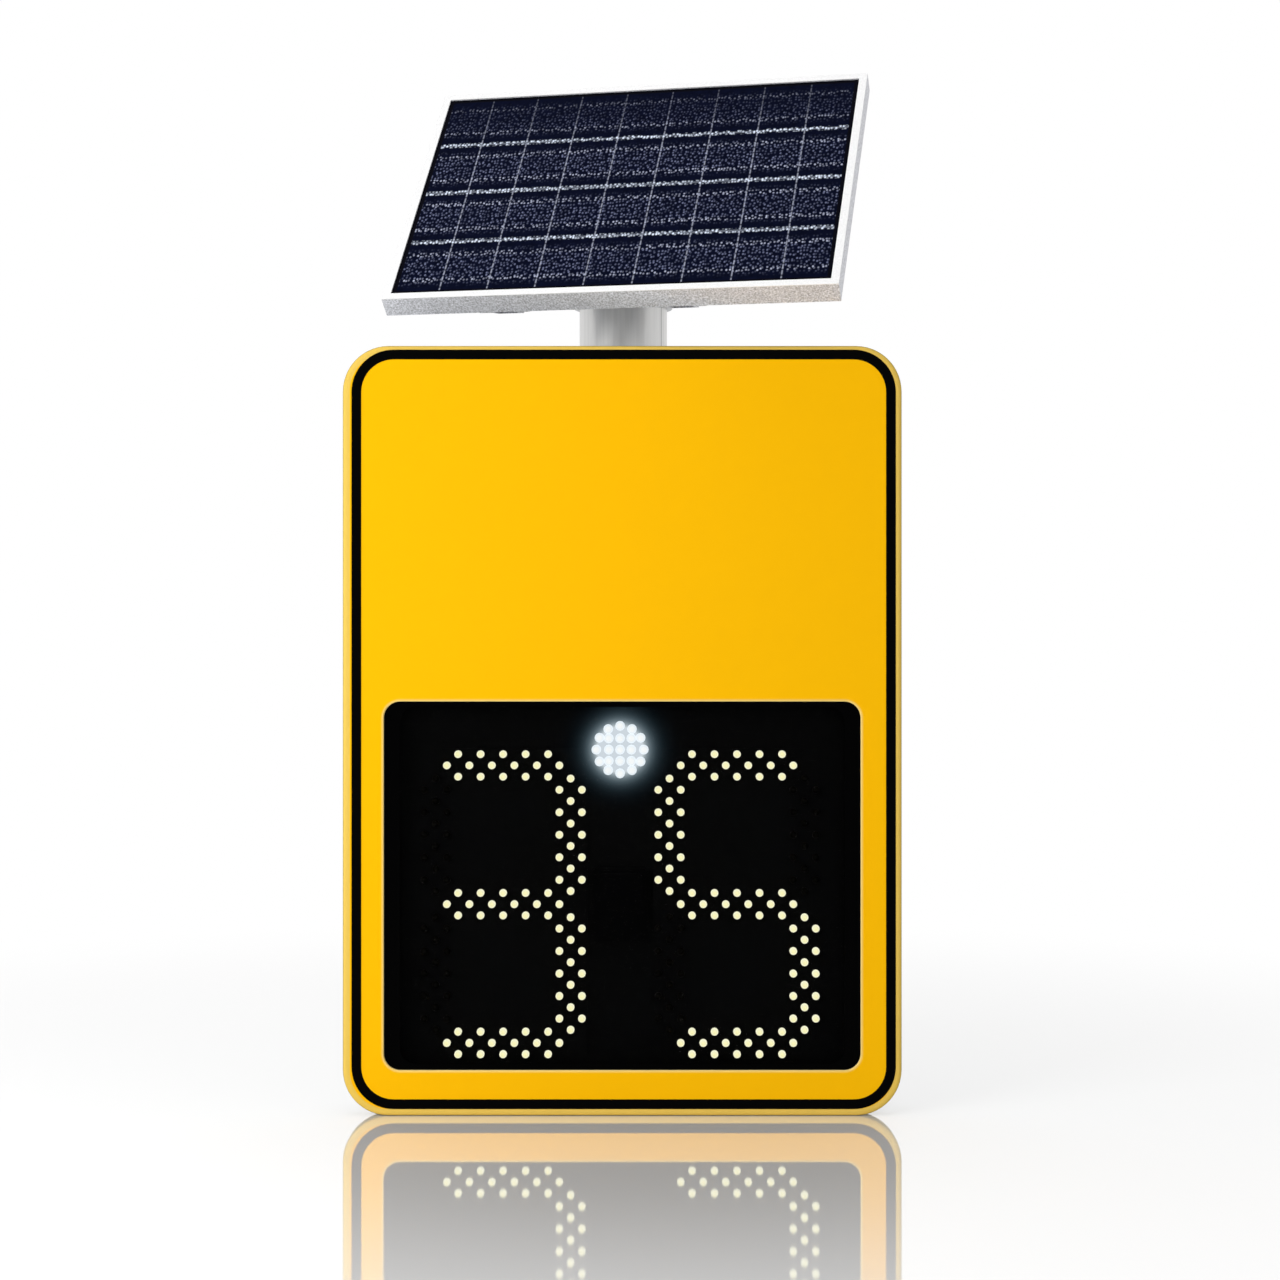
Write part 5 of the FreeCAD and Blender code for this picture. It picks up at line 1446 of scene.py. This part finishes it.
    def carrier(self) -> None:
        """Screws the digit boards to the display carrier."""
        places = []
        for node in ("left_digit_board", "right_digit_board"):
            low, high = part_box(node)
            for x in (low.x + self.screw_inset, high.x - self.screw_inset):
                for z in (low.z + self.screw_inset, (low.z + high.z) / 2, high.z - self.screw_inset):
                    places.append(facing((x, CARRIER_BACK, z), INTO_CABINET))
        self.fix("carrier_screws", self.carrier_screw, places, Body.DOOR)

    def controller(self) -> None:
        """Screws the controller's board to its pillars."""
        places = []
        for x in (BOARD_LOW.x + self.screw_inset, BOARD_HIGH.x - self.screw_inset):
            for z in (BOARD_LOW.z + self.screw_inset, BOARD_HIGH.z - self.screw_inset):
                places.append(facing((x, BOARD_FACE, z), OUT_OF_FACE))
        self.fix("board_screws", self.board_screw, places, Body.MAST)


@dataclass
class Electronics:
    """The small parts that stand on the controller's board, placed by shares of its width and height."""

    finisher: Finisher
    can_radius: float = 5 * MM
    can_height: float = 13 * MM
    can_sides: int = 20
    can_profile: tuple[Share, ...] = ((0, 0), (1, 0), (1, 0.94), (0.9, 1), (0, 1))
    cans: tuple[tuple[float, float], ...] = ((0.16, 0.80), (0.24, 0.80), (0.32, 0.80), (0.86, 0.42))
    chip_height: float = 2.2 * MM
    chip_bevel: float = 0.4 * MM
    chips: tuple[tuple[float, float, float, float], ...] = (
        (0.22, 0.55, 18 * MM, 10 * MM),
        (0.22, 0.38, 18 * MM, 10 * MM),
        (0.60, 0.32, 10 * MM, 8 * MM),
        (0.76, 0.22, 12 * MM, 12 * MM),
        (0.60, 0.84, 14 * MM, 7 * MM),
    )

    def build(self) -> None:
        """Adds the capacitors and the chips."""
        sleeve = CAPACITOR_SLEEVE.material("capacitor_sleeve")
        can = turned(self.can_profile, self.can_radius, self.can_height, self.can_sides)
        places = [facing(self.spot(*share), OUT_OF_FACE) for share in self.cans]
        bm = copies(finish_mesh(can, "capacitor"), places)
        add_piece(finish_mesh(bm, "capacitors"), sleeve, Body.MAST)
        plastic = self.finisher.of("black_plastic")
        add_piece(finish_mesh(self.blocks(), "chips"), plastic, Body.MAST)

    def spot(self, across: float, up: float) -> Vector:
        """Finds a place on the board's face.

        Args:
            across: share of the board's width.
            up: share of the board's height.

        Returns:
            The place.
        """
        x = BOARD_LOW.x + across * (BOARD_HIGH.x - BOARD_LOW.x)
        z = BOARD_LOW.z + up * (BOARD_HIGH.z - BOARD_LOW.z)
        return Vector((x, BOARD_FACE, z))

    def blocks(self) -> BMesh:
        """Builds the chips.

        Returns:
            Blocks with bevelled edges.
        """
        bm = bmesh.new()
        for across, up, width, height in self.chips:
            size = Matrix.Diagonal((width, self.chip_height, height, 1))
            middle = self.spot(across, up) - Vector((0, self.chip_height / 2, 0))
            bmesh.ops.create_cube(bm, size=1, matrix=Matrix.Translation(middle) @ size)
        bmesh.ops.bevel(
            bm, geom=bm.edges[:], offset=self.chip_bevel, segments=2, profile=0.5, affect="EDGES", material=-1
        )
        return bm


@dataclass(frozen=True)
class Lamp:
    """A soft square lamp, which shiny surfaces don't mirror."""

    name: str
    spot: Triple
    aim: Triple
    size: float
    power: float

    def build(self) -> None:
        """Hangs the lamp and points it at its aim."""
        light = bpy.data.lights.new(self.name, "AREA")
        light.size = self.size
        light.energy = self.power
        lamp = bpy.data.objects.new(self.name, light)
        lamp.matrix_world = facing(self.spot, Vector(self.spot) - Vector(self.aim))
        lamp.visible_glossy = False
        bpy.context.scene.collection.objects.link(lamp)


@dataclass
class Studio:
    """Floor, light and camera."""

    camera_spot: Triple = (0.0194, -2.7758, 0.519)
    lens: float = 67.1
    sensor: float = 36.0
    floor_half: float = 9.0
    floor_colour: Colour = (0.90, 0.90, 0.90)
    floor_index: float = 3.4
    floor_gloss: float = 1.0
    floor_roughness: float = 0.04
    floor_glow: float = 0.06
    fade_span: Span = (0.45, 1.7)
    ambient: float = 0.44
    front_gloom: float = 0.68
    gloom_spread: float = 9.0
    gloom_aim: Triple = (-0.16, -0.987, 0.0)
    lamps: tuple[Lamp, ...] = (
        Lamp("key", (-1.4, -1.55, 0.85), (-0.25, -0.17, 0.45), 1.2, 25.0),
        Lamp("fill", (1.9, -2.2, 1.4), (0.1, -0.17, 0.6), 1.6, 4.0),
        Lamp("top", (0.0, 0.3, 3.4), (0.0, -0.3, 0.0), 2.6, 36.0),
    )

    def build(self) -> None:
        """Sets up the floor, the world, the lamps and the camera."""
        self.floor()
        self.world()
        for lamp in self.lamps:
            lamp.build()
        self.camera()
        bpy.context.scene.view_settings.view_transform = "Standard"

    def floor(self) -> None:
        """Lays the floor."""
        bm = bmesh.new()
        bmesh.ops.create_grid(bm, x_segments=1, y_segments=1, size=self.floor_half)
        floor = bpy.data.objects.new("floor", finish_mesh(bm, "floor"))
        bpy.context.scene.collection.objects.link(floor)
        floor.data.materials.append(self.floor_material())

    def floor_material(self) -> Material:
        """Makes a pale, glossy surface that fades into white far from the sign.

        Returns:
            The material.
        """
        material = bpy.data.materials.new("floor")
        material.use_nodes = True
        graph = Graph(material.node_tree)
        shader = material.node_tree.nodes["Principled BSDF"]
        shader.inputs["Base Color"].default_value = (*self.floor_colour, 1.0)
        shader.inputs["Roughness"].default_value = self.floor_roughness
        shader.inputs["IOR"].default_value = self.floor_index
        shader.inputs["Specular IOR Level"].default_value = self.floor_gloss
        shader.inputs["Emission Color"].default_value = WHITE
        seen = graph.add("ShaderNodeLightPath").outputs["Is Camera Ray"]
        graph.feed(shader.inputs["Emission Strength"], graph.times(seen, self.floor_glow))
        far = graph.step(graph.length(graph.point()), *self.fade_span)
        white = graph.add("ShaderNodeEmission")
        joined = graph.add("ShaderNodeMixShader")
        fade = graph.times(far, seen)
        for socket, value in zip(joined.inputs, (fade, shader.outputs[0], white.outputs[0])):
            graph.feed(socket, value)
        graph.feed(material.node_tree.nodes["Material Output"].inputs["Surface"], joined.outputs[0])
        return material

    def world(self) -> None:
        """Makes a white room with a darker side behind the camera, as metal shows it."""
        world = bpy.data.worlds.new("studio")
        world.use_nodes = True
        bpy.context.scene.world = world
        graph = Graph(world.node_tree)
        background = world.node_tree.nodes["Background"]
        path = graph.add("ShaderNodeLightPath").outputs
        direction = graph.add("ShaderNodeTexCoord").outputs["Generated"]
        toward = graph.vector("DOT_PRODUCT", direction, self.gloom_aim).outputs["Value"]
        dark = graph.math("POWER", graph.math("MAXIMUM", toward, 0.0), self.gloom_spread)
        mirrored = graph.minus(1.0, graph.times(dark, self.front_gloom))
        shiny = graph.math("MAXIMUM", path["Is Glossy Ray"], path["Is Transmission Ray"])
        level = graph.times(shiny, graph.minus(mirrored, self.ambient))
        level = graph.math("ADD", level, self.ambient)
        level = graph.math("MAXIMUM", level, path["Is Camera Ray"])
        graph.feed(background.inputs["Strength"], level)
        background.inputs["Color"].default_value = WHITE

    def camera(self) -> None:
        """Places the camera straight in front of the sign."""
        data = bpy.data.cameras.new("camera")
        data.lens = self.lens
        data.sensor_width = self.sensor
        data.sensor_fit = "HORIZONTAL"
        camera = bpy.data.objects.new("camera", data)
        camera.matrix_world = Matrix.Translation(self.camera_spot) @ Matrix.Rotation(math.pi / 2, 4, "X")
        bpy.context.scene.collection.objects.link(camera)
        bpy.context.scene.camera = camera


def main() -> None:
    """Builds the sign's looks, then the studio."""
    logging.basicConfig(level=logging.INFO, format="%(name)s: %(message)s")
    finisher = Finisher()
    finisher.dress()
    SignFace().build()
    Display(finisher).build()
    Fixings(finisher).build()
    Electronics(finisher).build()
    Studio().build()


if __name__ == "__main__":
    main()
